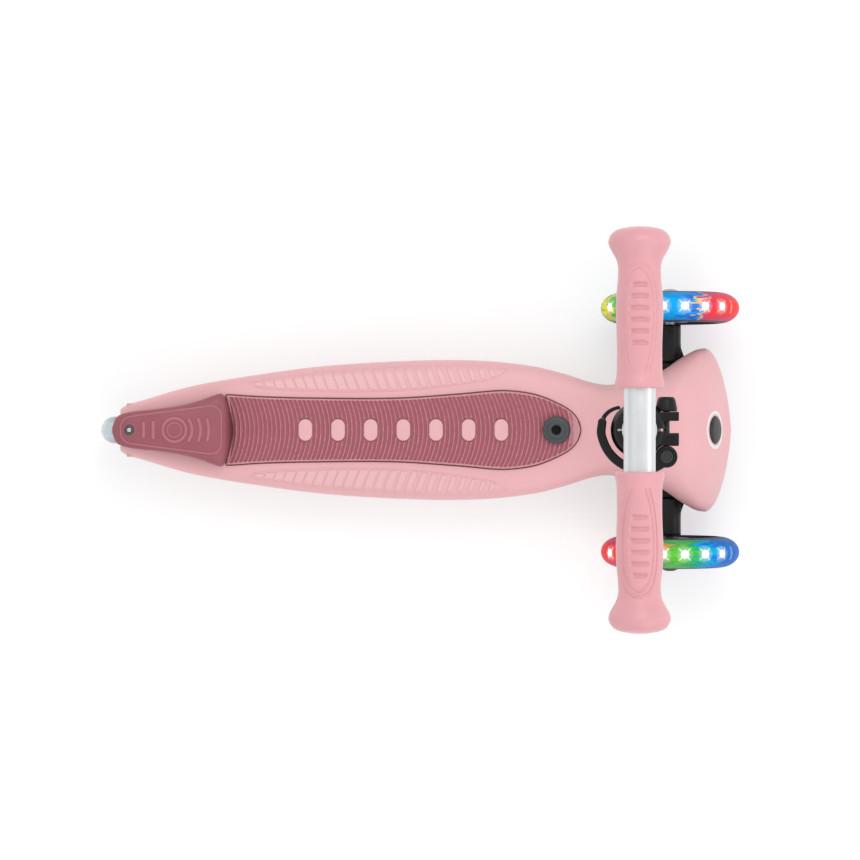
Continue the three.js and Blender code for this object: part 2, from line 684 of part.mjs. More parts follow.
// ---------------------------------------------------------------- front truck
// The arm's plan from the kingpin to the axle boss: narrow at the boss, wide at the middle.
function armPlan(side) {
  const outline = [[201, 0], [205, 62], [211.5, 76], [229, 76], [233, 64], [236, 40], [231, 0]];
  return polygon(outline.map(([x, y]) => [x, side * y]));
}

function frontTruck() {
  const hubTop = onKingpin(TRUCK_HUB_HALF_HEIGHT);
  let truck = solid(rod(onKingpin(-TRUCK_HUB_HALF_HEIGHT), hubTop, TRUCK_HUB_RADIUS, 24));
  for (const side of [-1, 1]) {
    const boss = crossRod(FRONT_AXLE_X, FRONT_WHEEL_RADIUS, side * 60, side * 92.5, 9.7, 20);
    truck = truck.add(solid(boss)).add(solid(slab(armPlan(side), 52, 16)));
  }
  truck = cut(
    truck,
    rod(hubTop, onKingpin(40), TRUCK_HUB_RADIUS + 2, 24),
    rod(onKingpin(-40), onKingpin(-TRUCK_HUB_HALF_HEIGHT), TRUCK_HUB_RADIUS + 2, 24),
    rod(onKingpin(-20), onKingpin(20), KINGPIN_RADIUS + GAP),
  );
  // Room for the lock's leg at any steering angle, so the two joints can be posed on their own.
  const notch = block([KINGPIN_PIVOT.x + 17, 0, KINGPIN_PIVOT.z - 6], [12, 13.2, 40]);
  truck = cut(truck, notch);
  for (const side of [-1, 1]) {
    const socket = crossRod(FRONT_AXLE_X, FRONT_WHEEL_RADIUS, side * 65, side * 100, AXLE_RADIUS + GAP);
    truck = cut(truck, socket);
  }
  return truck;
}

addPiece('front_truck', frontTruck(), finish(BLACK, 0.55));

const bushingTop = TRUCK_HUB_HALF_HEIGHT + GAP;
function bushing(from) {
  const bore = KINGPIN_RADIUS + GAP;
  const top = BUSHING_HEIGHT - GAP;
  const profile = [[bore, 0], [12, 0], [10.5, BUSHING_HEIGHT / 2], [12, top], [bore, top], [bore, 0]];
  return aimed(turned(profile, 20), onKingpin(from), KINGPIN_AXIS);
}

addPiece('bushing_upper', bushing(bushingTop), finish('#b9bcbe', 0.6));
addPiece('bushing_lower', bushing(-bushingTop - BUSHING_HEIGHT + GAP), finish('#b9bcbe', 0.6));
addPiece('kingpin', rod(onKingpin(-25), onKingpin(34), KINGPIN_RADIUS, 16), finish(STEEL, 0.35, 1));
const kingpinNut = aimed(hexNut(KINGPIN_RADIUS, 9.5, -22.5, -15.7), onKingpin(0), KINGPIN_AXIS);
addPiece('kingpin_nut', kingpinNut, finish(STEEL, 0.35, 1));

// ---------------------------------------------------------------- steering lock
function lockButton() {
  const cap = aimed(turned([
    [0, 0], [3.5, 0], [3.5, 13], [BUTTON_RADIUS, 13], [BUTTON_RADIUS, 19.2], [9.5, 20.6], [0, 21.4],
  ], 24), onButton(19), buttonNormal);
  const top = onButton(17);
  const tip = new THREE.Vector3(235.5, 0, 49);
  const leg = sidePlate(polygon([
    [top.x - 3, top.z + 2], [top.x - 4.5, top.z - 3], [tip.x - 2, tip.z + 6], [tip.x - 3, tip.z],
    [tip.x + 2, tip.z], [tip.x + 4, tip.z + 8], [top.x + 3, top.z - 1],
  ]), -2.4, 2.4);
  return joined(cap, leg);
}

addPiece('lock_button', lockButton(), finish(BLACK, 0.5));
const lockSpring = aimed(wireCoil(7, 4, 2, 0.7), onButton(11.1), buttonNormal);
addPiece('lock_button_spring', lockSpring, finish(STEEL, 0.3, 1));

// ---------------------------------------------------------------- column and T-bar
function outerTube() {
  const tube = solid(ring(OUTER_TUBE_BORE, OUTER_TUBE_RADIUS, 0, OUTER_TUBE_LENGTH, 28));
  const clampSlit = block([OUTER_TUBE_RADIUS, 0, OUTER_TUBE_LENGTH - 10], [12, 2.4, 60]);
  const slotWidth = 9.4;
  const slotMiddle = BUTTON_HOLE + T_BAR_TRAVEL / 2;
  const guideSlot = block([-OUTER_TUBE_RADIUS, 0, slotMiddle], [12, slotWidth, T_BAR_TRAVEL + slotWidth]);
  return cut(tube, clampSlit, guideSlot);
}

addPiece('outer_tube', outerTube(), finish(SILVER, 0.3, 1), column);

// Plastic sleeve that guides the inner tube, with a flange on top of the outer tube.
function tubeBush() {
  const bore = INNER_TUBE_RADIUS + GAP;
  const outside = OUTER_TUBE_BORE - GAP;
  const bottom = OUTER_TUBE_LENGTH - 26;
  const seat = OUTER_TUBE_LENGTH + GAP;
  const sleeve = turned([
    [bore, bottom], [outside, bottom], [outside, seat], [19.5, seat], [17.5, OUTER_TUBE_LENGTH + 4],
    [bore, OUTER_TUBE_LENGTH + 5], [bore, bottom],
  ], 28);
  return cut(solid(sleeve), block([OUTER_TUBE_RADIUS, 0, OUTER_TUBE_LENGTH - 10], [12, 2, 40]));
}

addPiece('tube_bush', tubeBush(), finish(BLACK, 0.6), column);

function tBar() {
  const reach = CROSSBAR_HALF_LENGTH;
  const bar = solid(crossRod(0, CROSSBAR_HEIGHT, -reach, reach, CROSSBAR_RADIUS, 20));
  const tube = ring(INNER_TUBE_BORE, INNER_TUBE_RADIUS, INNER_TUBE_BOTTOM, CROSSBAR_HEIGHT, 24);
  const rearwards = new THREE.Vector3(-1, 0, 0);
  const pinHole = aimed(
    turned([[0, 0], [4 + GAP, 0], [4 + GAP, 25], [0, 25]], 12),
    new THREE.Vector3(-5, 0, BUTTON_HOLE), rearwards,
  );
  const crossbarBore = crossRod(0, CROSSBAR_HEIGHT, -reach - 1, reach + 1, CROSSBAR_BORE, 16);
  return cut(bar.add(solid(tube)), pinHole, crossbarBore);
}

addPiece('t_bar', tBar(), finish(SILVER, 0.35, 1), column);

const heightButton = turned([[0, 0], [6.2, 0], [6.2, 2], [4, 2], [4, 11.5], [2.5, 12.8], [0, 13]], 12);
heightButton.rotateY(-Math.PI / 2).translate(-5.6, 0, BUTTON_HOLE);
addPiece('height_button', heightButton, finish(STEEL, 0.3, 1), column);
const heightSpring = wireCoil(3, 13, 4, 0.6).rotateY(-Math.PI / 2).translate(8.8, 0, BUTTON_HOLE);
addPiece('height_button_spring', heightSpring, finish(STEEL, 0.3, 1), column);

function grip() {
  const outside = [
    [17.2, GRIP_INNER_Y], [16.9, 33], [15.6, 40], [15.6, 60], [16.4, 82], [16, 93], [15, 103],
    [14.8, 111], [16.4, 118], [20.6, 126], [21.5, 129.5], [20.5, 133], [16.6, 137.3],
    [8.5, 139.5], [0, GRIP_OUTER_Y],
  ];
  const bore = CROSSBAR_RADIUS + GAP;
  const boreEnd = CROSSBAR_HALF_LENGTH + 1;
  return turned([[0, boreEnd], [bore, boreEnd], [bore, GRIP_INNER_Y], ...outside], 20);
}

for (const [name, side] of [['left_grip', 1], ['right_grip', -1]]) {
  const shape = aimed(grip(), new THREE.Vector3(0, 0, CROSSBAR_HEIGHT), LEFT.clone().multiplyScalar(side));
  addPiece(name, shape, finish('#e9afb4', 0.65), column);
}

// ---------------------------------------------------------------- quick-release clamp
// A round hole along the column at the lever's pin.
function atLeverPin(radius, segments) {
  const from = new THREE.Vector3(CLAMP_BOLT_X, LEVER_PIN_Y, COLLAR_BOTTOM - 4);
  return rod(from, from.clone().setZ(COLLAR_TOP + 11), radius, segments);
}

function clampCollar() {
  const bore = OUTER_TUBE_RADIUS + GAP;
  const sleeve = turned([
    [bore, COLLAR_BOTTOM], [COLLAR_RADIUS, COLLAR_BOTTOM], [COLLAR_RADIUS, COLLAR_TOP - 6],
    [COLLAR_RADIUS - 3.5, COLLAR_TOP], [bore, COLLAR_TOP], [bore, COLLAR_BOTTOM],
  ], 32);
  const ears = [[14, 6.9, 30.5, 13.8], [14, -12.3, 30.5, -2.3]].map(([x0, y0, x1, y1]) =>
    block([(x0 + x1) / 2, (y0 + y1) / 2, CLAMP_HEIGHT], [x1 - x0, y1 - y0, LEVER_HEIGHT]));
  return cut(
    joined(sleeve, ...ears),
    rod(new THREE.Vector3(0, 0, COLLAR_BOTTOM - 14), new THREE.Vector3(0, 0, COLLAR_TOP + 16), bore, 32),
    block([18, 2.3, CLAMP_HEIGHT], [40, 9.2, 60]),
    atLeverPin(CAM_RADIUS + GAP, 24),
    crossRod(CLAMP_BOLT_X, CLAMP_HEIGHT, -20, 20, CLAMP_BOLT_RADIUS + GAP, 12),
    crossRod(CLAMP_BOLT_X, CLAMP_HEIGHT, 14, 30, 9.2, 20),
  );
}

addPiece('clamp_collar', clampCollar(), finish(BLACK, 0.5), column);

function clampBolt() {
  const shank = crossRod(CLAMP_BOLT_X, CLAMP_HEIGHT, LEVER_PIN_Y + 4, 22, CLAMP_BOLT_RADIUS, 12);
  const eye = ring(2.9, 5.4, -2.5, 2.5, 16).translate(CLAMP_BOLT_X, LEVER_PIN_Y, CLAMP_HEIGHT);
  return joined(shank, eye);
}

addPiece('clamp_bolt', clampBolt(), finish(STEEL, 0.35, 1), column);

const knobBore = CLAMP_BOLT_RADIUS + GAP;
const knob = turned([
  [knobBore, 14.3], [8.5, 14.3], [8.3, 17], [6.8, 24], [5.6, 25.4], [0, 25.6], [0, 22.4],
  [knobBore, 22.4], [knobBore, 14.3],
], 20);
const knobStart = new THREE.Vector3(CLAMP_BOLT_X, 0, CLAMP_HEIGHT);
addPiece('clamp_knob', aimed(knob, knobStart, LEFT), finish(BLACK, 0.5), column);

const leverTop = LEVER_HEIGHT / 2;
addPiece('clamp_lever_pin', turned([
  [0, -leverTop - 1], [2.6, -leverTop - 1], [2.6, leverTop + GAP], [5, leverTop + GAP],
  [5, leverTop + 1.2], [4.2, leverTop + 1.8], [0, leverTop + 1.8],
], 16).translate(CLAMP_BOLT_X, LEVER_PIN_Y, CLAMP_HEIGHT), finish(DARK_GREY, 0.4), column);

// The lever runs from its cam head round the back of the collar, and thins towards its tip.
function leverOutline() {
  const spine = new THREE.CatmullRomCurve3([
    [21, -20.5], [11, -28], [-2, -29.6], [-14, -25.6], [-23.5, -16.5], [-28.8, -4], [-28.2, 8.5],
  ].map(([x, y]) => new THREE.Vector3(x, y, 0)));
  const steps = 14;
  const near = []; // the side towards the collar
  const far = [];
  for (let k = 0; k <= steps; k += 1) {
    const t = k / steps;
    const point = spine.getPoint(t);
    const tangent = spine.getTangent(t);
    const half = THREE.MathUtils.lerp(3.7, 3.3, t);
    const shoulder = 2.6 * Math.max(1 - t / 0.45, 0) ** 2;
    near.push([point.x + tangent.y * half, point.y - tangent.x * half]);
    far.push([point.x - tangent.y * (half + shoulder), point.y + tangent.x * (half + shoulder)]);
  }
  return polygon([...near, ...far.reverse()]);
}

function clampLever() {
  const arm = slab(leverOutline(), CLAMP_HEIGHT - LEVER_HEIGHT / 2, LEVER_HEIGHT);
  const head = ring(3, CAM_RADIUS, -LEVER_HEIGHT / 2, LEVER_HEIGHT / 2, 24);
  const fork = ring(0.5, 10.5, -2.9, 2.9, 24).translate(CLAMP_BOLT_X, LEVER_PIN_Y, CLAMP_HEIGHT);
  const whole = joined(arm, head.translate(CLAMP_BOLT_X, LEVER_PIN_Y, CLAMP_HEIGHT));
  return cut(whole, atLeverPin(3, 12), fork);
}

addPiece('clamp_lever', clampLever(), finish(BLACK, 0.5), column);

export default scooter;
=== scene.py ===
import json
import math

import bmesh
import bpy
from mathutils import Matrix, Vector


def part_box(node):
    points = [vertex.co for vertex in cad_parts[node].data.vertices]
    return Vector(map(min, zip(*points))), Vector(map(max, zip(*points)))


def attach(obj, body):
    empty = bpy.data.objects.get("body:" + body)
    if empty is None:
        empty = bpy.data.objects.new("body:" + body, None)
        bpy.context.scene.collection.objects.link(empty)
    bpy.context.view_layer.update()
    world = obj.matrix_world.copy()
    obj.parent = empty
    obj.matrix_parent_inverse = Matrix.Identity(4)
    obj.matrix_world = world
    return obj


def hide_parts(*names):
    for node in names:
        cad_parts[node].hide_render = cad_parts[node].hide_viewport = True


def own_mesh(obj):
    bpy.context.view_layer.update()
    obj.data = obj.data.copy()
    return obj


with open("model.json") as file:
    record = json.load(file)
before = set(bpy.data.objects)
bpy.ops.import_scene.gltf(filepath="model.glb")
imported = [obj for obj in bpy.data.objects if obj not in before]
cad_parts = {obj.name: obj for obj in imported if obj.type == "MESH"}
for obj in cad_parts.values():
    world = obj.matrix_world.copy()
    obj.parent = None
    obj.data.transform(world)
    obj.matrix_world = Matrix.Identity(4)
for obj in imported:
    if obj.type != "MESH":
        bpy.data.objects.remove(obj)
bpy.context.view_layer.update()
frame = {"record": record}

MM = 0.001
RECORD = frame["record"]
JOINTS = {joint["name"]: joint for joint in RECORD["behaviour"]["joints"]}
BODY_OF = {n: body for body, nodes in RECORD["behaviour"]["bodies"].items() for n in nodes}
X, Y, Z = Vector((1, 0, 0)), Vector((0, 1, 0)), Vector((0, 0, 1))

# ------------------------------------------------------------ places, from the frame


def joint_place(name):
    return Vector(JOINTS[name]["pos_m"]) / MM


FRONT_HUBS = {"left": joint_place("left_wheel_spin"), "right": joint_place("right_wheel_spin")}
REAR_HUB = joint_place("rear_wheel_spin")
BRAKE_PIVOT = joint_place("brake_press")
KINGPIN_AXIS = Vector(JOINTS["truck_steer"]["axis"]).normalized()
KINGPIN = joint_place("truck_steer")
BUTTON_NORMAL = -Vector(JOINTS["steering_lock_press"]["axis"]).normalized()
COLUMN_UP = Vector(JOINTS["t_bar_height"]["axis"]).normalized()
COLUMN_FRONT = Y.cross(COLUMN_UP)
LEVER_PIN = (21, -20.5, 321)  # in the column's own frame
COLUMN_FOOT = joint_place("clamp_lever_open") - (
    LEVER_PIN[0] * COLUMN_FRONT + LEVER_PIN[1] * Y + LEVER_PIN[2] * COLUMN_UP)
COLUMN = Matrix.Translation(COLUMN_FOOT * MM) @ Matrix(
    (COLUMN_FRONT, Y, COLUMN_UP)).transposed().to_4x4()
SOCKET_X = (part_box("seat_socket")[0].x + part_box("seat_socket")[1].x) / 2 / MM
SOCKET = (SOCKET_X, 0)
SOCKET_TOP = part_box("seat_socket")[1].z / MM
SIDES = (("left", 1), ("right", -1))


# ------------------------------------------------------------ curves and mesh helpers
def lerp(a, b, t):
    return a + (b - a) * t


def smoothstep(value, low, high):
    t = min(max((value - low) / (high - low), 0), 1)
    return t * t * (3 - 2 * t)


def spread(low, high, count):
    return [lerp(low, high, i / (count - 1)) for i in range(count)]


def curve_through(knots):
    """A smooth value along x through a few (x, value) knots."""
    def slope(i):
        before, after = knots[max(i - 1, 0)], knots[min(i + 1, len(knots) - 1)]
        return (after[1] - before[1]) / (after[0] - before[0])

    def value(x):
        x = min(max(x, knots[0][0]), knots[-1][0])
        i = max(next(k for k, knot in enumerate(knots) if knot[0] >= x), 1)
        (x0, v0), (x1, v1) = knots[i - 1], knots[i]
        span = x1 - x0
        t = (x - x0) / span
        start = v0 * (2 * t**3 - 3 * t * t + 1) + slope(i - 1) * span * (t**3 - 2 * t * t + t)
        return start + v1 * (3 * t * t - 2 * t**3) + slope(i) * span * (t**3 - t * t)
    return value


def eased(corners, radius=0.6, steps=3, closed=False):
    """The same outline with its corners rounded."""
    points = [Vector(c) for c in corners]
    out = []
    for i, corner in enumerate(points):
        if not closed and i in (0, len(points) - 1):
            out.append(corner)
            continue
        before, after = points[i - 1] - corner, points[(i + 1) % len(points)] - corner
        if before.normalized().dot(after.normalized()) < -0.985:
            out.append(corner)
            continue
        cut = min(radius, 0.45 * before.length, 0.45 * after.length)
        start, end = corner + before.normalized() * cut, corner + after.normalized() * cut
        for k in range(steps + 1):
            t = k / steps
            out.append(start.lerp(corner, t).lerp(corner.lerp(end, t), t))
    return out


def new_object(name, verts, faces):
    mesh = bpy.data.meshes.new(name)
    mesh.from_pydata([Vector(v) * MM for v in verts], [], faces)
    bm = bmesh.new()
    bm.from_mesh(mesh)
    bmesh.ops.remove_doubles(bm, verts=bm.verts, dist=2e-6)
    bmesh.ops.recalc_face_normals(bm, faces=bm.faces)
    bm.to_mesh(mesh)
    bm.free()
    obj = bpy.data.objects.new(name, mesh)
    bpy.context.collection.objects.link(obj)
    return obj


def applied(obj):
    """The object's modifiers are baked into its mesh."""
    bpy.context.view_layer.update()
    depsgraph = bpy.context.evaluated_depsgraph_get()
    mesh = bpy.data.meshes.new_from_object(obj.evaluated_get(depsgraph))
    obj.modifiers.clear()
    obj.data = mesh
    return obj


def combine(obj, tools, operation):
    for tool in tools:
        modifier = obj.modifiers.new("solid", "BOOLEAN")
        modifier.operation = operation
        modifier.solver = "MANIFOLD"
        modifier.object = tool
        applied(obj)
        bpy.data.objects.remove(tool)
    return obj


def cut(obj, *tools):
    return combine(obj, tools, "DIFFERENCE")


def joined(obj, *tools):
    return combine(obj, tools, "UNION")


def gathered(name, objects):
    """Several meshes in one object, left as they are."""
    bm = bmesh.new()
    for obj in objects:
        bm.from_mesh(obj.data)
        bpy.data.objects.remove(obj)
    mesh = bpy.data.meshes.new(name)
    bm.to_mesh(mesh)
    bm.free()
    whole = bpy.data.objects.new(name, mesh)
    bpy.context.collection.objects.link(whole)
    return whole


def melted(obj, voxel, rounds):
    """Merges overlapping shells into one skin with soft edges, like a moulding."""
    remesh = obj.modifiers.new("remesh", "REMESH")
    remesh.mode = "VOXEL"
    remesh.voxel_size = voxel * MM
    smooth = obj.modifiers.new("smooth", "SMOOTH")
    smooth.factor = 0.5
    smooth.iterations = rounds
    return applied(obj)


def bevelled(obj, width, segments=3, angle=30):
    bevel = obj.modifiers.new("bevel", "BEVEL")
    bevel.width = width * MM
    bevel.segments = segments
    bevel.limit_method = "ANGLE"
    bevel.angle_limit = math.radians(angle)
    return applied(obj)


def full_turn(count):
    return [2 * math.pi * k / count for k in range(count)]


def circle(centre, out, up, radius, count):
    return [centre + out * (radius * math.cos(a)) + up * (radius * math.sin(a)) for a in full_turn(count)]


def quads(rows, count, looped=False, closed=True):
    """Faces between rows of points; a looped skin joins its last row to its first."""
    faces = []
    for row in range(rows if looped else rows - 1):
        a, b = row * count, (row + 1) % rows * count
        for k in range(count if closed else count - 1):
            j = (k + 1) % count
            faces.append((a + k, a + j, b + j, b + k))
    return faces


def end_faces(rows, count):
    return [tuple(range(count - 1, -1, -1)), tuple(range((rows - 1) * count, rows * count))]


def lofted(name, sections):
    """A closed skin through a row of sections."""
    rows, count = len(sections), len(sections[0])
    points = [point for section in sections for point in section]
    return new_object(name, points, quads(rows, count) + end_faces(rows, count))


def turned(name, profile, segments=64, closed=False):
    """A profile of (radius, height) points turned about Z."""
    verts = []
    for angle in full_turn(segments):
        verts += [(r * math.cos(angle), r * math.sin(angle), h) for r, h in profile]
    return new_object(name, verts, quads(segments, len(profile), True, closed))


def ring(name, inner, outer, bottom, top, segments=64, ease=0.5):
    corners = [(inner, bottom), (outer, bottom), (outer, top), (inner, top)]
    return turned(name, eased(corners, ease, closed=True), segments, closed=True)


def aimed(obj, start, direction):
    """Moves a shape made about Z so that it starts at a point and runs along a direction."""
    turn = Z.rotation_difference(Vector(direction)).to_matrix().to_4x4()
    obj.data.transform(Matrix.Translation(Vector(start) * MM) @ turn)
    return obj


def in_column(obj):
    obj.data.transform(COLUMN)
    return obj


def rod(name, start, end, radius, segments=48, ease=0.0):
    along = Vector(end) - Vector(start)
    corners = [(0, 0), (radius, 0), (radius, along.length), (0, along.length)]
    profile = eased(corners, ease) if ease else corners
    return aimed(turned(name, profile, segments), start, along)


def rod_across(name, place, start, end, radius, *finish):
    """A rod along Y through a place, from one Y to another."""
    return rod(name, (place[0], start, place[2]), (place[0], end, place[2]), radius, *finish)


def rod_up(name, place, low, high, radius, *finish):
    """A rod along Z through a place, from one height to another."""
    return rod(name, (place[0], place[1], low), (place[0], place[1], high), radius, *finish)


def block(name, centre, size):
    x, y, z = centre
    a, b, c = (s / 2 for s in size)
    low = [(x - a, y - b, z - c), (x + a, y - b, z - c), (x + a, y + b, z - c), (x - a, y + b, z - c)]
    return lofted(name, [low, [(p[0], p[1], z + c) for p in low]])


def prism(name, outline, low, high):
    return lofted(name, [[(p[0], p[1], low) for p in outline], [(p[0], p[1], high) for p in outline]])


def side_prism(name, outline, y0, y1):
    return lofted(name, [[(p[0], y0, p[1]) for p in outline], [(p[0], y1, p[1]) for p in outline]])


def arc(centre, radius, start, end, steps):
    return [Vector((centre[0] + radius * math.cos(a), centre[1] + radius * math.sin(a)))
            for a in spread(start, end, steps)]


def pill(half_length, half_width, steps=14):
    straight = half_length - half_width
    return (arc((0, straight), half_width, 0, math.pi, steps)
            + arc((0, -straight), half_width, math.pi, 2 * math.pi, steps))


def slab_from_grids(name, top, bottom):
    """A closed skin between two grids of points that have the same rows and columns."""
    rows, columns = len(top), len(top[0])
    verts = [p for row in top for p in row] + [p for row in bottom for p in row]
    lower = rows * columns
    faces = []
    for i in range(rows - 1):
        for j in range(columns - 1):
            a = i * columns + j
            faces.append((a, a + 1, a + columns + 1, a + columns))
            faces.append((lower + a, lower + a + columns, lower + a + columns + 1, lower + a + 1))
    rim = ([(i, 0) for i in range(rows)] + [(rows - 1, j) for j in range(1, columns)]
           + [(i, columns - 1) for i in range(rows - 2, -1, -1)]
           + [(0, j) for j in range(columns - 2, 0, -1)])
    for (i, j), (k, m) in zip(rim, rim[1:] + rim[:1]):
        a, b = i * columns + j, k * columns + m
        faces.append((a, b, lower + b, lower + a))
    return new_object(name, verts, faces)


def spaced(path, step, closed):
    """The same path with points about one step apart."""
    points = [Vector(p) for p in path] + ([Vector(path[0])] if closed else [])
    out = []
    for a, b in zip(points, points[1:]):
        count = max(1, round((b - a).length / step))
        out += [a.lerp(b, k / count) for k in range(count)]
    return out if closed else out + [points[-1]]


BEAD_SIDES = 8
BEAD_STEP = 0.7  # between points of a bead's path
BEAD_SINK = 0.35  # how deep a bead's underside lies in the surface


def bead(surface, path, width, height, closed):
    """Vertices and faces of a rounded ridge that follows a path of (u, v) on a surface."""
    flat = spaced(path, BEAD_STEP, closed)
    points = [surface(u, v) for u, v in flat]
    count = len(points)
    length = [0.0]
    for a, b in zip(points, points[1:]):
        length.append(length[-1] + (b - a).length)
    verts = []
    for i, (u, v) in enumerate(flat):
        along_u = surface(u + 0.05, v) - surface(u - 0.05, v)
        along_v = surface(u, v + 0.05) - surface(u, v - 0.05)
        normal = along_u.cross(along_v).normalized()
        before = points[i - 1] if closed or i else points[0]
        after = points[(i + 1) % count] if closed or i + 1 < count else points[-1]
        side = (after - before).normalized().cross(normal)
        scale = 1.0
        if not closed:
            near = min(length[i], length[-1] - length[i]) / (width / 2)
            scale = max(math.sqrt(max(1 - (1 - min(near, 1)) ** 2, 0)), 0.12)
        for angle in full_turn(BEAD_SIDES):
            up = math.sin(angle) * (height if math.sin(angle) > 0 else BEAD_SINK)
            out = width / 2 * scale * math.cos(angle)
            verts.append(points[i] + side * out + normal * (up * scale))
    ends = [] if closed else end_faces(count, BEAD_SIDES)
    return verts, quads(count, BEAD_SIDES, looped=closed) + ends


def relief(name, surface, beads):
    """One object made of many beads: (path, width, height, closed)."""
    verts, faces = [], []
    for path, width, height, closed in beads:
        more, skin = bead(surface, path, width, height, closed)
        faces += [tuple(k + len(verts) for k in face) for face in skin]
        verts += more
    return new_object(name, verts, faces)


COIL_STEPS, WIRE_SIDES = 28, 10


def coil(name, radius, length, turns, wire):
    """A spring along Z, with radius and wire measured to the wire's centre and its skin."""
    count = round(turns * COIL_STEPS)
    sections = []
    for i in range(count + 1):
        angle = 2 * math.pi * i / COIL_STEPS
        out = Vector((math.cos(angle), math.sin(angle), 0))
        centre = out * radius + Z * lerp(wire, length - wire, i / count)
        sections.append(circle(centre, out, Z, wire, WIRE_SIDES))
    return lofted(name, sections)


def dress(obj, material, node, also=(), sharp=38):
    """Smooth shading, a material, and the body and CAD nodes that the piece stands for."""
    mesh = obj.data
    mesh.materials.clear()
    mesh.materials.append(material)
    mesh.polygons.foreach_set("use_smooth", [True] * len(mesh.polygons))
    mesh.set_sharp_from_angle(angle=math.radians(sharp))
    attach(obj, BODY_OF[node])
    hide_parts(node, *also)


# ------------------------------------------------------------ materials
def linear(red, green, blue):
    """A display colour, 0 to 255, as the linear colour that shaders take."""
    def channel(value):
        v = value / 255
        return v / 12.92 if v <= 0.04045 else ((v + 0.055) / 1.055) ** 2.4
    return (channel(red), channel(green), channel(blue), 1.0)


DAYLIGHT = 1.12  # how much the studio brightens an upward face


def tint(red, green, blue):
    """The base colour of a surface that should look like a display colour in the studio's light."""
    return shade(linear(red, green, blue), 1 / DAYLIGHT)


def shade(colour, factor):
    return tuple(min(c * factor, 1.0) for c in colour[:3]) + (1.0,)


def fill_ramp(node, stops):
    elements = node.color_ramp.elements
    while len(elements) < len(stops):
        elements.new(1.0)
    for element, (position, colour) in zip(elements, stops):
        element.position = position
        element.color = colour


class Look:
    """A material being wired: its nodes, with short names for the common steps."""

    def __init__(self, name):
        self.material = bpy.data.materials.new(name)
        self.material.use_nodes = True
        self.tree = self.material.node_tree
        self.shader = self.tree.nodes["Principled BSDF"]
        self.place = self.node("ShaderNodeTexCoord").outputs["Object"]

    def node(self, kind, **settings):
        made = self.tree.nodes.new(kind)
        for key, value in settings.items():
            setattr(made, key, value)
        return made

    def link(self, source, target):
        self.tree.links.new(source, target)

    def feed(self, socket, value):
        if isinstance(value, bpy.types.NodeSocket):
            self.link(value, socket)
        else:
            socket.default_value = value

    def math(self, operation, *values):
        made = self.node("ShaderNodeMath", operation=operation)
        for socket, value in zip(made.inputs, values):
            self.feed(socket, value)
        return made.outputs[0]

    def times(self, first, second):
        return self.math("MULTIPLY", first, second)

    def plus(self, first, second):
        return self.math("ADD", first, second)

    def distance(self, first, second):
        return self.math("SQRT", self.plus(self.times(first, first), self.times(second, second)))

    def noise(self, size, detail=2.0, place=None):
        made = self.node("ShaderNodeTexNoise")
        made.inputs["Scale"].default_value = 1 / (size * MM)
        made.inputs["Detail"].default_value = detail
        self.link(place or self.place, made.inputs["Vector"])
        return made.outputs["Fac"]

    def span(self, value, low, high, start=0.3, end=0.7):
        made = self.node("ShaderNodeMapRange")
        self.link(value, made.inputs["Value"])
        for name, number in (("From Min", start), ("From Max", end), ("To Min", low), ("To Max", high)):
            made.inputs[name].default_value = number
        return made.outputs["Result"]

    def ramp(self, value, stops):
        made = self.node("ShaderNodeValToRGB")
        fill_ramp(made, stops)
        self.link(value, made.inputs["Fac"])
        return made.outputs["Color"]

    def mix(self, factor, first, second):
        made = self.node("ShaderNodeMix", data_type="RGBA")
        self.feed(made.inputs[0], factor)
        self.feed(made.inputs[6], first)
        self.feed(made.inputs[7], second)
        return made.outputs[2]

    def axes(self):
        made = self.node("ShaderNodeSeparateXYZ")
        self.link(self.place, made.inputs[0])
        return made.outputs

    def clouds(self, size, first, second, detail=3.0):
        """Soft patches between two colours."""
        return self.mix(self.span(self.noise(size, detail), 0, 1), first, second)

    def stretched(self, scale):
        """The object's own coordinates, stretched along one or two axes."""
        made = self.node("ShaderNodeMapping")
        made.inputs["Scale"].default_value = scale
        self.link(self.place, made.inputs["Vector"])
        return made.outputs["Vector"]

    def bump(self, height, depth):
        made = self.node("ShaderNodeBump")
        made.inputs["Strength"].default_value = 1.0
        made.inputs["Distance"].default_value = depth * MM
        self.link(height, made.inputs["Height"])
        return made.outputs["Normal"]

    def set(self, **values):
        for key, value in values.items():
            self.feed(self.shader.inputs[key.replace("_", " ")], value)
        return self


def moulded(name, colour, roughness, cloud=30.0, tone=0.035, grain=0.45, depth=0.02, **extra):
    """Moulded plastic or rubber: fine spark-eroded grain, faint clouds of tone, uneven gloss."""
    look = Look(name)
    base = tint(*colour)
    gloss = look.span(look.noise(cloud / 3), roughness - 0.05, roughness + 0.05)
    look.set(Base_Color=look.clouds(cloud, shade(base, 1 - tone), shade(base, 1 + tone)),
             Roughness=gloss, Normal=look.bump(look.noise(grain), depth), **extra)
    return look.material


def metal(name, colour, roughness, brush=(12.0, 12.0, 12.0), streak=0.04, depth=0.004):
    """Worked metal: fine brush marks along one direction, and faint patches of gloss."""
    look = Look(name)
    base = linear(*colour)
    lines = look.noise(20.0, 4.0, look.stretched(brush))
    colours = look.mix(look.span(lines, 0, 1), shade(base, 1 - streak), shade(base, 1 + streak))
    gloss = look.span(look.noise(14.0), roughness - 0.04, roughness + 0.05)
    look.set(Base_Color=colours, Metallic=1.0, Roughness=gloss, Normal=look.bump(lines, depth))
    return look.material


PINK = moulded("satin_pink", (236, 180, 184), 0.42, cloud=60, tone=0.018, Specular_IOR_Level=0.45)
GRIP_PINK = moulded("grip_rubber", (228, 164, 170), 0.37, cloud=25, tone=0.025, grain=0.7,
                    depth=0.03, Specular_IOR_Level=0.45)


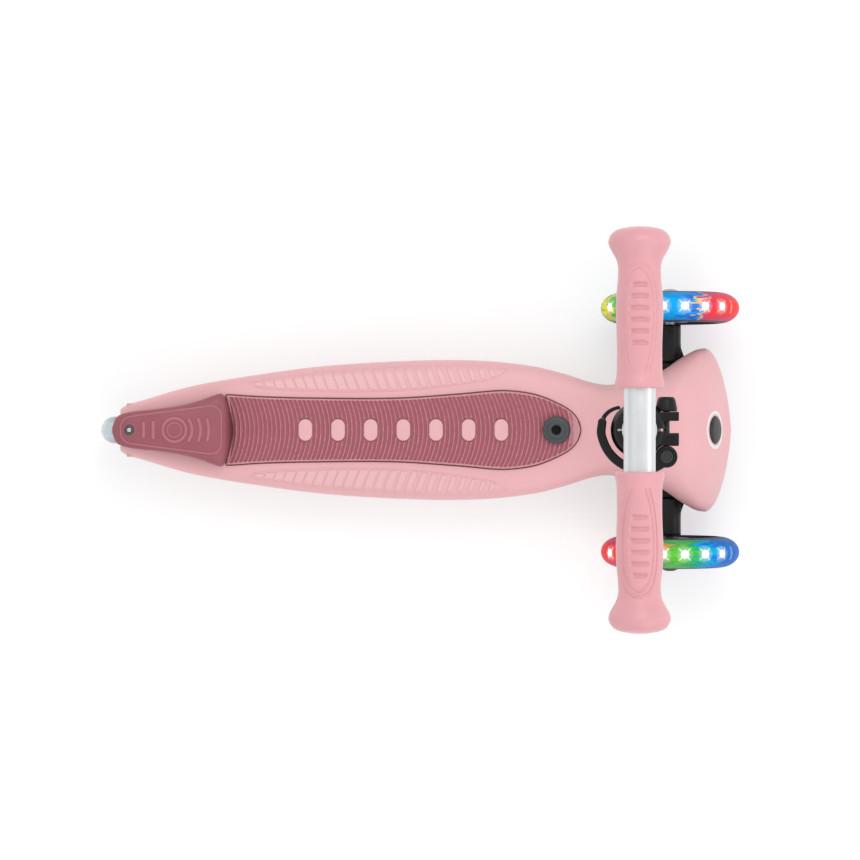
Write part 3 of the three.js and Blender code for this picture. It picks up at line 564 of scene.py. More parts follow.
def ribbed_rubber():
    """The mat: dusty rose rubber, with painted shade that makes its grooves darker than its ridges."""
    look = Look("mat_rubber")
    depth = look.node("ShaderNodeAttribute", attribute_name="depth").outputs["Fac"]
    # painted shade by depth, with a little random tone: the deeper a point lies, the darker it is
    painted_groove_shade = look.plus(depth, look.span(look.noise(3.0, 3.0), -0.12, 0.12))
    ridges = look.clouds(18.0, tint(204, 146, 153), tint(212, 154, 160))
    look.set(Base_Color=look.mix(look.span(painted_groove_shade, 0, 1, 0.05, 0.6), ridges, tint(167, 90, 103)),
             Roughness=look.span(look.noise(6.0), 0.6, 0.72), Specular_IOR_Level=0.4,
             Normal=look.bump(look.noise(0.5), 0.05))
    return look.material


MAT = ribbed_rubber()
# A little paler than the deck's pink: a painted highlight on the raised leaf bars and on the lip round the
# mat.
PINK_HIGHLIGHT = moulded("satin_pink_painted_highlight", (237, 186, 189), 0.4, cloud=60, tone=0.015)
# Dark plum for the bead round the mat: a painted shadow line.
MAT_SHADOW_LINE = moulded("mat_painted_shadow", (96, 52, 60), 0.7, cloud=12, tone=0.08)


def brake_plastic():
    """Burgundy plastic, with painted shade where the pedal's front edge turns down towards the mat."""
    look = Look("brake_plastic")
    axes = look.axes()
    # painted shade: darker towards the front edge and low down on it
    front_shade = look.times(look.span(axes["X"], 0, 1, -0.175, -0.168),
                         look.span(axes["Z"], 1, 0, 0.0835, 0.0905))
    burgundy = look.clouds(35.0, tint(153, 82, 94), tint(163, 88, 100))
    look.set(Base_Color=look.mix(front_shade, burgundy, tint(92, 45, 53)), Specular_IOR_Level=0.45,
             Roughness=look.span(look.noise(12.0), 0.35, 0.45), Normal=look.bump(look.noise(0.45), 0.02))
    return look.material


BRAKE = brake_plastic()
# Paler burgundy on the raised lines: a painted highlight on their tops.
BRAKE_RIDGE_HIGHLIGHT = moulded("brake_ridges_painted_highlight", (182, 112, 122), 0.36, cloud=35, tone=0.03)
BLACK = moulded("black_plastic", (16, 17, 18), 0.36, cloud=20, tone=0.12, grain=0.5, depth=0.03,
                Specular_IOR_Level=0.28)
CHARCOAL = moulded("charcoal_button", (34, 36, 38), 0.42, cloud=8, tone=0.1, grain=0.8, depth=0.08)
GREY = moulded("grey_plastic", (64, 70, 72), 0.4, cloud=10, tone=0.08, grain=0.5, depth=0.04)
RUBBER = moulded("bushing_rubber", (186, 189, 191), 0.7, cloud=8, tone=0.05, grain=0.5, depth=0.05)
MARK = moulded("pale_ring", (240, 241, 241), 0.45, cloud=10, tone=0.01, depth=0.01)
WHEEL_WHITE = moulded("wheel_white", (232, 235, 236), 0.45, cloud=20, tone=0.02)
LED_WHITE = moulded("led_core", (244, 244, 238), 0.4, cloud=8, tone=0.02)
MAGNET = moulded("magnet", (40, 40, 42), 0.55, cloud=5, tone=0.1)
ALUMINIUM = metal("satin_aluminium", (232, 234, 235), 0.33, brush=(60.0, 60.0, 3.0))
CROSSBAR = metal("crossbar_aluminium", (220, 222, 223), 0.36, brush=(60.0, 3.0, 60.0),
                 streak=0.02, depth=0.002)
STEEL = metal("zinc_steel", (168, 170, 173), 0.34, streak=0.08)
BEARING = metal("bearing_steel", (92, 94, 96), 0.4, streak=0.05)
CHROME = metal("bright_steel", (214, 216, 218), 0.2, streak=0.05)


def wheel_place(look, hub):
    """Turns about the axle from straight back over the top, and metres across and out from the hub."""
    axes = look.axes()
    ahead = look.math("SUBTRACT", axes["X"], hub.x * MM)
    height = look.math("SUBTRACT", axes["Z"], hub.z * MM)
    around = look.math("ARCTAN2", height, look.times(ahead, -1.0))
    turn = look.math("FRACT", look.plus(look.math("DIVIDE", around, 2 * math.pi), 1.0))
    across = look.math("SUBTRACT", axes["Y"], hub.y * MM)
    return turn, across, look.distance(ahead, height)


LAMP_COUNT = 20
FIRST_LAMP = 0.0222  # turns from straight back to the first lamp
FIRST_LIT, LAST_LIT = 0.045, 0.41  # the lit arc, in turns from straight back
LAMP_RAYS = 60.0  # the higher, the thinner the rays
WHITE = (1.0, 1.0, 1.0, 1.0)


def lamp_stars(look, turn, across, radius):
    """How much of a lamp's star, and of the halo round it, shows at a place on the tyre."""
    lamp = look.times(look.math("SUBTRACT", turn, FIRST_LAMP), float(LAMP_COUNT))
    step = look.math("SUBTRACT", look.math("FRACT", look.plus(lamp, 100.5)), 0.5)
    along = look.times(step, 2 * math.pi * radius / LAMP_COUNT)
    wide = look.math("DIVIDE", across, MM)
    reach = look.distance(along, wide)
    wave = look.math("SINE", look.times(look.math("ARCTAN2", wide, along), 2.0))
    rays = look.math("POWER", look.math("ABSOLUTE", wave), LAMP_RAYS)
    core = look.span(reach, 1.0, 0.0, 2.5, 3.9)
    spikes = look.times(rays, look.span(reach, 0.75, 0.0, 3.0, 8.5))
    lit = look.times(look.span(turn, 0.0, 1.0, FIRST_LIT - 0.005, FIRST_LIT),
                     look.span(turn, 1.0, 0.0, LAST_LIT, LAST_LIT + 0.005))
    star = look.times(lit, look.math("MAXIMUM", core, spikes))
    return star, look.times(lit, look.span(reach, 0.3, 0.0, 3.0, 8.0))


def glowing_tyre(name, hub, stops, radius):
    """A clear tyre tinted by the coloured lamps inside it, with a small star over each lamp."""
    look = Look(name)
    turn, across, out = wheel_place(look, hub)
    streaks = look.stretched((0.22, 1.0, 0.22))
    wander = look.plus(look.span(look.noise(6.0, 3.0, streaks), -0.03, 0.03),
                       look.span(look.noise(2.0, 2.0, streaks), -0.02, 0.02))
    coloured = look.ramp(look.plus(turn, wander), stops)
    ragged = look.plus(look.math("ABSOLUTE", across), look.span(look.noise(4.0, 3.0), -0.0014, 0.0014))
    shoulder = look.mix(look.span(ragged, 0.0, 0.35, 0.005, 0.0105), coloured, linear(10, 60, 130))
    skin = look.mix(look.span(out, 0.92, 0.0, 0.0503, 0.0509), shoulder, linear(52, 58, 62))
    star, halo = lamp_stars(look, turn, across, radius)
    look.set(Base_Color=look.mix(star, look.mix(halo, skin, WHITE), WHITE), Roughness=0.45,
             Specular_IOR_Level=0.12, Emission_Color=look.mix(star, skin, WHITE),
             Emission_Strength=look.plus(look.times(star, 1.2), 0.06),
             Normal=look.bump(look.noise(6.0), 0.03))
    return look.material


def tinted_tyre(name, hub):
    """The rear tyre: milky blue-grey polyurethane, darker towards its shoulders."""
    look = Look(name)
    turn, across, _ = wheel_place(look, hub)
    edge = look.span(look.math("ABSOLUTE", across), 0.0, 1.0, 0.0055, 0.0122)
    milky = look.clouds(5.0, tint(180, 198, 205), tint(214, 224, 227))
    look.set(Base_Color=look.mix(edge, milky, tint(84, 104, 113)),
             Roughness=look.span(turn, 0.2, 0.26, 0, 1), Normal=look.bump(look.noise(1.2), 0.02),
             Coat_Weight=0.4, Coat_Roughness=0.1, Subsurface_Weight=0.15, Subsurface_Scale=4 * MM)
    return look.material


# ------------------------------------------------------------ deck and nose
DECK_REAR_X, NOSE_WIDE_X, NOSE_HALF_WIDTH, DECK_FRONT_X = -262, 250, 71.6, 274.8
DECK_BASE, DECK_TOP, DECK_WALL = 45, 72, 3.6
DROPOUT_Y = 23.4

deck_plan = curve_through([
    (-262, 19), (-257, 21.9), (-240, 27), (-200, 38.5), (-148, 47.7), (-82, 56.4), (0, 61.2),
    (55, 61), (100, 56.2), (128, 49.4), (153, 41.6), (169, 40), (190, 45), (211, 51.2),
    (230, 63.8), (242, 70), (NOSE_WIDE_X, NOSE_HALF_WIDTH)])
deck_ridge = curve_through([
    (-262, 60), (-252, 68), (-236, 72), (-200, 73), (-160, DECK_TOP), (104, DECK_TOP),
    (125, 74), (145, 80), (165, 91), (185, 104), (205, 113), (222, 115), (236, 111),
    (246, 103), (254, 92), (262, 77), (269, 62), (DECK_FRONT_X, 51)])
deck_edge = curve_through([
    (-262, DECK_BASE), (180, DECK_BASE), (186, DECK_BASE), (189, 62), (194, 74), (202, 79), (232, 79),
    (240, 76), (245, 70), (250, 63), (256, 56), (263, 50), (269, 46.5), (DECK_FRONT_X, DECK_BASE)])


def deck_half_width(x):
    if x <= NOSE_WIDE_X:
        return deck_plan(x)
    reach = min((x - NOSE_WIDE_X) / (DECK_FRONT_X - NOSE_WIDE_X), 1)
    return max(NOSE_HALF_WIDTH * (1 - reach**2) ** 0.62, 1)


def deck_squareness(x):
    return lerp(5, 2.4, smoothstep(x, 110, 205))


def deck_z(x, y):
    """Height of the deck's upper skin."""
    n = deck_squareness(x)
    inside = max(1 - abs(y / deck_half_width(x)) ** n, 0)
    return lerp(deck_edge(x), deck_ridge(x), inside ** (1 / n))


def on_deck(x, y):
    return Vector((x, y, deck_z(x, y)))


def arch(x, half_width, base, top, squareness, steps):
    points = []
    for k in range(steps + 1):
        angle = math.pi * k / steps
        cosine, sine = math.cos(angle), max(math.sin(angle), 0)
        across = math.copysign(abs(cosine) ** (2 / squareness), cosine)
        points.append((x, half_width * across, base + (top - base) * sine ** (2 / squareness)))
    return points


def deck_stations(step, nose_count):
    straight = spread(DECK_REAR_X, NOSE_WIDE_X - 7, round((NOSE_WIDE_X - 7 - DECK_REAR_X) / step))
    nose = [NOSE_WIDE_X - 7 + (DECK_FRONT_X - NOSE_WIDE_X + 7) * math.sin(math.pi / 2 * k / nose_count)
            for k in range(1, nose_count + 1)]
    return straight + nose


def on_column(along):
    return COLUMN_FOOT + COLUMN_UP * along


def on_kingpin(along):
    return KINGPIN + KINGPIN_AXIS * along


BUTTON_X = 258
BUTTON_FACE = Vector((BUTTON_X, 0, deck_ridge(BUTTON_X)))


def on_button(depth):
    return BUTTON_FACE - BUTTON_NORMAL * depth


def deck_hollow():
    rear, front, lead = -184, DECK_FRONT_X - 4.5, 3
    stations = [rear] + [x for x in deck_stations(6, 14) if rear < x < front] + [front]
    hollow = lofted("hollow", [
        arch(x, max(deck_half_width(x + lead) - DECK_WALL, 1), 30, deck_ridge(x + lead) - DECK_WALL,
             deck_squareness(x) + 1, 36) for x in stations])
    ribs = [block("rib", (-10, y, 62), (350, 2.4, 30)) for y in (-16, 16)]
    ribs += [block("rib", (x, 0, 64), (2.4, 130, 26)) for x in range(-130, 141, 90)]
    bosses = [
        rod("boss", on_column(-4), on_column(60), 21.5),
        rod("boss", on_kingpin(15.4), on_kingpin(60), 12),
        rod("boss", on_button(14), on_button(-6), 15.5),
        rod_up("boss", SOCKET, 67.6, 90, 14),
    ]
    return cut(hollow, *ribs, *bosses)


def dropout_outline():
    x, z = REAR_HUB.x, REAR_HUB.z
    around = arc((x, z), 12.5, -0.6, 0.5 - math.pi, 20)
    return [(-190, 62), (-190, 46), (-212, 45), (x + 10, 33), *around, (-256, 62)]


def deck_shell():
    shell = lofted("deck_shell", [
        arch(x, deck_half_width(x), deck_edge(x), deck_ridge(x), deck_squareness(x), 72)
        for x in deck_stations(2, 26)])
    cut(shell, deck_hollow())
    ear = [(-186, 66), (-166, 66), (-171, 88), (-181, 88)]
    for side in (-1, 1):
        def plate(outline, near, far):
            return side_prism("plate", outline, *sorted((side * near, side * far)))
        dropout = bevelled(plate(dropout_outline(), 14, DROPOUT_Y), 1.2)
        joined(shell, dropout, bevelled(plate(ear, 12, 16), 0.8))
    leg_room = [(246.6, 76.5), (240, 79.8), (235, 77.4), (233.2, 71.9), (229, 60), (229, 47),
                (240, 47), (240.2, 57)]
    slot_end = -195
    cut(shell,
        block("slot", (slot_end - 50, 0, 60), (100, 28, 90)),
        rod_across("axle", REAR_HUB, -40, 40, 4.2),
        rod_across("pin", BRAKE_PIVOT, -20, 20, 2.8),
        rod("tube", on_column(0), on_column(80), 17.3),
        rod("kingpin", on_kingpin(0), on_kingpin(34.5), 4.8),
        rod("button", on_button(12), on_button(-10), 12.3),
        rod("leg", on_button(20), on_button(0), 4.4),
        side_prism("leg_room", leg_room, -3, 3),
        rod_up("socket", SOCKET, 50, 90, 8.3),
        rod("bushing", on_kingpin(-30), on_kingpin(15.1), 12.6),
        rod_across("head", REAR_HUB, -45, -DROPOUT_Y, 8.5),
        rod_across("nut", REAR_HUB, DROPOUT_Y, 45, 8.5))
    return shell


dress(deck_shell(), PINK, "deck_body", sharp=32)

MAT_REAR, MAT_FRONT, MAT_LIFT, MAT_THICK, REAR_BOW = -164, 140.8, 0.3, 2.8, 4.5
PAD_PLACES = [-99 + 28.5 * i for i in range(7)]
PAD_HALF_LENGTH, PAD_HALF_WIDTH, PAD_GAP = 9.5, 6, 1


PAD_SIDE = [(0, -3.0), (0, 2.3), (0.15, 2.75), (0.5, 3.0), (0.95, 3.1)]  # inset, height


def deck_pad(x):
    sections = []
    for inset, height in PAD_SIDE:
        outline = pill(PAD_HALF_LENGTH - inset, PAD_HALF_WIDTH - inset)
        sections.append([(x + p.x, p.y, DECK_TOP + height) for p in outline])
    return lofted("pad", sections)


def deck_pads():
    """Pink pads that stand through the windows of the mat, level with its top."""
    return gathered("deck_pads", [deck_pad(x) for x in PAD_PLACES])


dress(deck_pads(), PINK, "deck_body")

leaf_outer = curve_through([
    (-148, 40.5), (-130, 43.6), (-108, 46.8), (-78, 50.2), (-40, 53.2), (0, 55), (30, 55.4),
    (58, 54.6), (77.7, 51.9)])
leaf_inner = curve_through([
    (-148, 40.5), (-140, 37.8), (-126, 36.3), (-108, 35.4), (-78, 34.4), (-40, 34.6), (-10, 35.7),
    (18, 38.6), (46, 42.4), (64, 45.9), (77.7, 51.9)])
BAR_COUNT, BAR_ROWS = 24, 9
BAR_LIFT, BAR_SINK, BAR_SLOPE, BAR_DEPTH = 0.6, -0.3, 0.35, 0.9


def leaf_bar(share, side):
    """One raised slanted bar, with a short slope along its sides and at its ends."""
    middle = lerp(-139.5, 64, share)
    half = lerp(4.0, 1.9, smoothstep(share, 0.3, 1))
    inner, outer = leaf_inner(middle) + 0.5, leaf_outer(middle) - 0.5
    lean = lerp(6.5, 5.2, share) * (outer - inner) / 15
    across = (-half, BAR_SLOPE - half, 0, half - BAR_SLOPE, half)
    places = spread(inner, outer, BAR_ROWS)
    places[1], places[-2] = inner + BAR_SLOPE, outer - BAR_SLOPE
    top, bottom = [], []
    for row, y in enumerate(places):
        x = middle - lean * ((y - inner) / (outer - inner) - 0.5)
        at_end = row in (0, BAR_ROWS - 1)
        skin = [(x + a, side * y, deck_z(x + a, y)) for a in across]
        lifts = [BAR_SINK if at_end or abs(a) == half else BAR_LIFT for a in across]
        top.append([(px, py, pz + lift) for (px, py, pz), lift in zip(skin, lifts)])
        bottom.append([(px, py, pz - BAR_DEPTH) for px, py, pz in skin])
    return slab_from_grids("bar", top, bottom)


def leaf_bars():
    """Raised slanted bars along both sides of the deck, inside a leaf-shaped line."""
    return gathered("deck_leaf_bars", [
        leaf_bar(share, side) for share in spread(0, 1, BAR_COUNT) for side in (-1, 1)])


# The bars in the paler pink: a painted highlight on their tops.
dress(leaf_bars(), PINK_HIGHLIGHT, "deck_body", sharp=60)

leaf_line = [(x, leaf_outer(x) + 1) for x in spread(-148, 77.7, 60)]
leaf_line += [(x, leaf_inner(x) - 1) for x in spread(77.7, -148, 60)][1:-1]
leaf_lines = relief("deck_leaf_lines", on_deck, [
    ([(x, side * y) for x, y in leaf_line], 0.9, 0.3, True) for side in (-1, 1)])
dress(leaf_lines, PINK, "deck_body", sharp=60)

# ------------------------------------------------------------ foot mat
mat_plan = curve_through([
    (MAT_REAR, 30.4), (-138, 28.7), (-95, 27.5), (-20, 27.4), (35, 31), (71, 34), (90, 32.8),
    (106, 29.3), (123, 22), (132, 16.5), (138, 9.5), (MAT_FRONT, 1)])

RIB_PITCH, RIB_DEPTH, RIB_BOW = 3.885, 1.2, 7.5


def mat_top(x, y, inset):
    """Height of the mat over the deck's skin, with ribs away from its edges."""
    phase = (x + RIB_BOW * (y / 30.6) ** 2) / RIB_PITCH
    groove = (0.5 - 0.5 * math.cos(2 * math.pi * phase)) ** 0.42
    ribbed = smoothstep(inset, 1.3, 2.1) * smoothstep(MAT_FRONT - x, 3.0, 13.0)
    rounding = 0.9 * (1 - min(inset / 0.9, 1)) ** 2
    return MAT_LIFT + MAT_THICK - rounding - RIB_DEPTH * groove * ribbed


def deck_mat():
    close = [0, 0.004, 0.012, 0.025, 0.045, 0.075, 0.1]
    side = [1 - c for c in close] + spread(0.86, 0, 18)[:-1]
    across = [-v for v in side] + [0] + side[::-1]
    length = MAT_FRONT - MAT_REAR
    along = [0, 0.0006, 0.0015, 0.003] + spread(0.0055, 0.9945, 620) + [0.997, 0.9985, 0.9994, 1]
    top, bottom = [], []
    for u in along:
        upper, lower = [], []
        for v in across:
            rear = MAT_REAR - REAR_BOW * v * v
            x = lerp(rear, MAT_FRONT, u)
            half = mat_plan(x)
            y = v * half
            inset = min((1 - abs(v)) * half, u * length, (MAT_FRONT - x) * 0.9 if abs(y) < 9 else 99)
            skin = deck_z(x, y)
            upper.append((x, y, skin + mat_top(x, y, inset)))
            lower.append((x, y, skin + MAT_LIFT))
        top.append(upper)
        bottom.append(lower)
    mat = slab_from_grids("foot_mat", top, bottom)
    hole = pill(PAD_HALF_LENGTH + PAD_GAP, PAD_HALF_WIDTH + PAD_GAP)
    windows = [prism("window", [(x + p.x, p.y) for p in hole], 60, 90) for x in PAD_PLACES]
    barrel = rod_up("barrel", SOCKET, 60, 90, 8.6)
    flange = rod_up("flange", SOCKET, SOCKET_TOP - 4.9, 90, 12.6)
    return cut(mat, gathered("windows", windows), barrel, flange)


def marked_depth(mat):
    """Each point of the mat remembers how deep it lies, for the material to paint shade in its grooves."""
    depth = mat.data.attributes.new("depth", "FLOAT", "POINT")
    for vertex, value in zip(mat.data.vertices, depth.data):
        x, y, z = vertex.co / MM
        value.value = min((deck_z(x, y) + MAT_LIFT + MAT_THICK - z) / RIB_DEPTH, 1)
    return mat


dress(marked_depth(deck_mat()), MAT, "deck_mat", sharp=50)


def mat_rim(offset):
    """A closed line that follows the mat's outline at a distance outside it."""
    rear, front = MAT_REAR - REAR_BOW, MAT_FRONT
    side = [(x, mat_plan(x)) for x in spread(rear + 0.4, 136, 90)] + [(138.4, mat_plan(138.4)), (140, 5)]
    back = [(MAT_REAR - REAR_BOW * (v * v), v * mat_plan(MAT_REAR)) for v in spread(-0.98, 0.98, 24)]
    line = [Vector(p) for p in side + [(front, 0)] + [(x, -y) for x, y in reversed(side)] + back]
    out = []
    for i, point in enumerate(line):
        along = line[(i + 1) % len(line)] - line[i - 1]
        out.append(tuple(point + Vector((-along.y, along.x)).normalized() * offset))
    return out


# A dark bead just outside the mat: a painted shadow along the gap between the mat and the deck.
shadow_gap = relief("mat_shadow_gap", on_deck, [(mat_rim(0.35), 0.9, 0.35, True)])
dress(shadow_gap, MAT_SHADOW_LINE, "deck_mat", sharp=60)
# The lip round the mat, in the paler pink: a painted highlight along the mat's rim.
mat_lip = relief("deck_mat_lip", on_deck, [(mat_rim(1.5), 1.1, 0.45, True)])
dress(mat_lip, PINK_HIGHLIGHT, "deck_body", sharp=60)

# ------------------------------------------------------------ seat socket
FLANGE = SOCKET_TOP - 4.6
socket = turned("seat_socket_body", eased([
    (0, 60), (7.9, 60), (7.9, FLANGE), (12, FLANGE), (12, FLANGE + 2), (10.6, FLANGE + 3),
    (7.6, FLANGE + 3.2), (7.6, SOCKET_TOP), (5.2, SOCKET_TOP), (4, SOCKET_TOP - 1.1), (4, 61.5),
    (0, 61.5)], 0.45), 96)
dress(aimed(socket, (*SOCKET, 0), Z), GREY, "seat_socket")


def hex_nut(name, bore, outer, bottom, top):
    """A six-sided nut along Z, its corners rounded off by a turned crown."""
    body = rod_up(name, (0, 0), bottom, top, outer, 6)
    end, corner = outer * 0.86, outer * 1.02
    crown = turned("crown", [(0, bottom - 1), (end, bottom - 1), (corner, bottom + 0.9),
                             (corner, top - 0.9), (end, top + 1), (0, top + 1)], 48)
    combine(body, [crown], "INTERSECT")
    return bevelled(cut(body, rod_up("bore", (0, 0), bottom - 2, top + 2, bore, 40)), 0.15, 2, 40)


socket_nut = hex_nut("socket_nut", 8.3, 13, 61.5, 67.2)
dress(aimed(socket_nut, (*SOCKET, 0), Z), STEEL, "seat_socket_nut")

# ------------------------------------------------------------ wheels
BEARING_RADIUS, BEARING_BORE, BEARING_WIDTH = 11, 4.3, 7


def bearing(name, centre, node):
    half = BEARING_WIDTH / 2
    side = [(BEARING_BORE, half), (5.9, half), (5.9, half - 0.5), (9.2, half - 0.5), (9.2, half),
            (BEARING_RADIUS, half)]
    profile = eased(side + [(r, -h) for r, h in reversed(side)], 0.25, closed=True)
    dress(aimed(turned(name, profile, 64, closed=True), centre, Y), BEARING, node)


def tyre_profile(radius, seat, half_width, crown):
    profile = [(seat, -half_width + 2.5)]
    for k in range(33):
        angle = math.pi * (k / 32 - 0.5)
        profile.append((radius - crown * (1 - math.cos(angle)), half_width * math.sin(angle)))
    return profile + [(seat, half_width - 2.5)]


def hub_profile(rim, rim_half, boss, boss_half):
    pocket = BEARING_RADIUS + 0.3
    floor = boss_half - BEARING_WIDTH - 0.5
    half = [(pocket, boss_half), (boss, boss_half), (boss + 2, 4), (rim - 5, 4), (rim - 3, rim_half),
            (rim, rim_half)]
    mirrored = [(r, -h) for r, h in reversed(half)]
    return [(8.5, floor), (pocket, floor), *half, *mirrored, (pocket, -floor), (8.5, -floor)]


def hub(name, centre, rim, rim_half, boss, boss_half, spokes):
    """A wheel core: dished web with raised spokes and lightening holes between them."""
    profile = eased(hub_profile(rim, rim_half, boss, boss_half), 0.9, closed=True)
    core = turned(name, profile, 96, closed=True)
    reach = (boss + rim) / 2
    outline = [p + Vector((reach, 0)) for p in pill(4.4, (rim - boss - 9) / 2 - 1.2, 10)]
    holes, ribs = [], []
    for angle in full_turn(spokes):
        hole = prism("hole", outline, -20, 20)
        hole.data.transform(Matrix.Rotation(angle, 4, "Z"))
        holes.append(hole)
        rib = bevelled(block("rib", (reach, 0, 0), (rim - boss - 1, 2.6, 2 * (rim_half - 2.6))), 0.6)
        rib.data.transform(Matrix.Rotation(angle + math.pi / spokes, 4, "Z"))
        ribs.append(rib)
    cut(core, gathered("holes", holes))
    joined(core, gathered("ribs", ribs))
    return aimed(core, centre, Y)


TYRE_COLOURS = {  # turns from straight back, display colour
    "left": [(0.0, (60, 170, 50)), (0.05, (250, 228, 60)), (0.075, (90, 185, 60)),
             (0.14, (50, 165, 60)), (0.2, (0, 150, 220)), (0.26, (0, 165, 235)),
             (0.285, (60, 90, 200)), (0.3, (0, 150, 225)), (0.31, (245, 210, 50)),
             (0.325, (190, 60, 150)), (0.345, (240, 60, 50)), (0.5, (236, 40, 46)),
             (0.62, (220, 50, 140)), (0.75, (70, 60, 200)), (0.88, (30, 160, 170)),
             (1.0, (60, 170, 50))],
    "right": [(0.0, (236, 40, 40)), (0.13, (236, 44, 44)), (0.19, (244, 150, 50)),
              (0.225, (60, 175, 70)), (0.25, (110, 195, 50)), (0.29, (60, 180, 60)),
              (0.315, (0, 165, 150)), (0.33, (0, 170, 235)), (0.36, (0, 115, 200)),
              (0.5, (0, 78, 168)), (0.66, (110, 50, 200)), (0.8, (230, 60, 130)),
              (0.9, (244, 90, 50)), (1.0, (236, 40, 40))],
}

FRONT_RADIUS, REAR_RADIUS = 60.5, 40
BEARING_Y = 8.7  # from the hub's middle to a bearing's
BOLT_PROFILE = [(0, 0), (3.4, 0), (3.9, 0.6), (3.9, 53), (7.5, 53), (7.5, 54.6), (6.6, 56.2),
                (4.4, 57.3), (2.4, 57.65), (0, 57.7)]


def front_wheel(label, side):
    centre = FRONT_HUBS[label]
    colours = [(place, linear(*colour)) for place, colour in TYRE_COLOURS[label]]
    glow = glowing_tyre(f"{label}_glow", centre, colours, FRONT_RADIUS)
    tyre = turned(f"{label}_clear_tyre", tyre_profile(FRONT_RADIUS, 43.5, 13.3, 17), 160, closed=True)
    dress(aimed(tyre, centre, Y), glow, f"{label}_tyre", sharp=50)
    band = ring(f"{label}_led_band", 38.8, 43.2, -4, 4, 120)
    dress(aimed(band, centre, Y), LED_WHITE, f"{label}_led_ring")
    dress(hub(f"{label}_core", centre, 38.5, 10.5, 16, 12.3, 9), BLACK, f"{label}_hub", sharp=35)
    for name, reach in (("outer", side), ("inner", -side)):
        place = centre + Y * BEARING_Y * reach
        bearing(f"{label}_race_{name}", place, f"{label}_bearing_{name}")
    magnet = ring(f"{label}_magnet", 4.4, 8, -4.5, 4.5, 48)
    dress(aimed(magnet, centre, Y), MAGNET, f"{label}_magnet_core")
    bolt = turned(f"{label}_bolt", eased(BOLT_PROFILE, 0.8, 4), 64)
    cut(bolt, rod_up("key", (0, 0), 55.4, 60, 2.3, 6))
    start = Vector((centre.x, side * 66, centre.z))
    dress(aimed(bolt, start, Y * side), STEEL if side > 0 else MAGNET, f"{label}_axle_bolt")


for label, side in SIDES:
    front_wheel(label, side)

rear_tyre = turned("rear_clear_tyre", tyre_profile(REAR_RADIUS, 26, 12, 12.5), 128, closed=True)
dress(aimed(rear_tyre, REAR_HUB, Y), tinted_tyre("milky_tyre", REAR_HUB), "rear_tyre", sharp=50)
dress(hub("rear_core", REAR_HUB, 25.7, 10, 14, 12.3, 7), WHEEL_WHITE, "rear_hub", sharp=35)
for label, side in SIDES:
    bearing(f"rear_race_{label}", REAR_HUB + Y * BEARING_Y * side, f"rear_bearing_{label}")
dress(aimed(ring("rear_spacer", 4.4, 6, -4.8, 4.8, 40, 0.3), REAR_HUB, Y), STEEL, "rear_bearing_spacer")
rear_bolt = turned("rear_bolt", eased([
    (0, -25.8), (6, -25.8), (6, -23.7), (3.9, -23.7), (3.9, 25.8), (0, 25.8)], 0.5), 48)
cut(rear_bolt, rod_up("key", (0, 0), -30, -24.6, 2.9, 6))
dress(aimed(rear_bolt, REAR_HUB, Y), STEEL, "rear_axle_bolt")
dress(aimed(hex_nut("rear_nut", 4.1, 6, 23.7, 25.5), REAR_HUB, Y), STEEL, "rear_axle_nut")

# ------------------------------------------------------------ brake
brake_plan = curve_through([
    (-266.6, 3), (-264.2, 9.8), (-259, 13.6), (-248, 16.3), (-226, 18.7), (-205, 22.1), (-189, 26.4),
    (-178, 30.4), (-171.5, 31.6), (-168, 27.5), (-164.5, 18), (-161.5, 3)])
brake_ridge = curve_through([
    (-266.6, 83.4), (-258, 89.2), (-240, 94.5), (-215, 96.5), (-190, 95.5), (-178, 94.8), (-172, 93),
    (-167, 89), (-163.5, 84.4), (-161.5, 81.2)])
brake_edge = curve_through([
    (-266.6, 79), (-262, 81), (-257, 83.2), (-250, 84.9), (-240, 86.5), (-226, 87), (-212, 84.8),
    (-200, 83.8), (-190, 83.5), (-176, 82.5), (-166, 79.5), (-161.5, 76.5)])
BRAKE_SQUARENESS = 4
SCREW_X = -251
SCREW = (SCREW_X, 0)


def on_brake(x, y):
    inside = max(1 - abs(y / brake_plan(x)) ** BRAKE_SQUARENESS, 0)
    return Vector((x, y, lerp(brake_edge(x), brake_ridge(x), inside ** (1 / BRAKE_SQUARENESS))))


def screw_hole():
    return rod_up("screw", SCREW, 75, 110, 2.3)


def brake_pedal():
    ends = [-266.6, -266.1, -265.4, -264.5]
    stations = ends + spread(-263.6, -164.5, 98) + [-163.6, -162.8, -162.2, -161.5]
    shell = lofted("brake_pedal_shell", [
        arch(x, brake_plan(x), brake_edge(x), brake_ridge(x), BRAKE_SQUARENESS, 64) for x in stations])
    inside = lofted("inside", [
        arch(x, brake_plan(x) - 3, brake_edge(x) - 12, brake_ridge(x) - 3, 8, 24)
        for x in spread(-257, -166.5, 40)])
    cut(shell, inside)
    knuckle = rod_across("knuckle", BRAKE_PIVOT, -11.5, 11.5, 5.4)
    web = block("web", BRAKE_PIVOT + Z * 5, (7, 23, 9))
    joined(shell, knuckle, web)
    return cut(shell, rod_across("pin", BRAKE_PIVOT, -14, 14, 2.8), screw_hole())


dress(brake_pedal(), BRAKE, "brake_pedal", sharp=34)

DISC_X = -211.6  # the middle of the rings on the pedal


def about(x, radius, start, end, steps):
    return [(p.x, p.y) for p in arc((x, 0), radius, start, end, steps)]


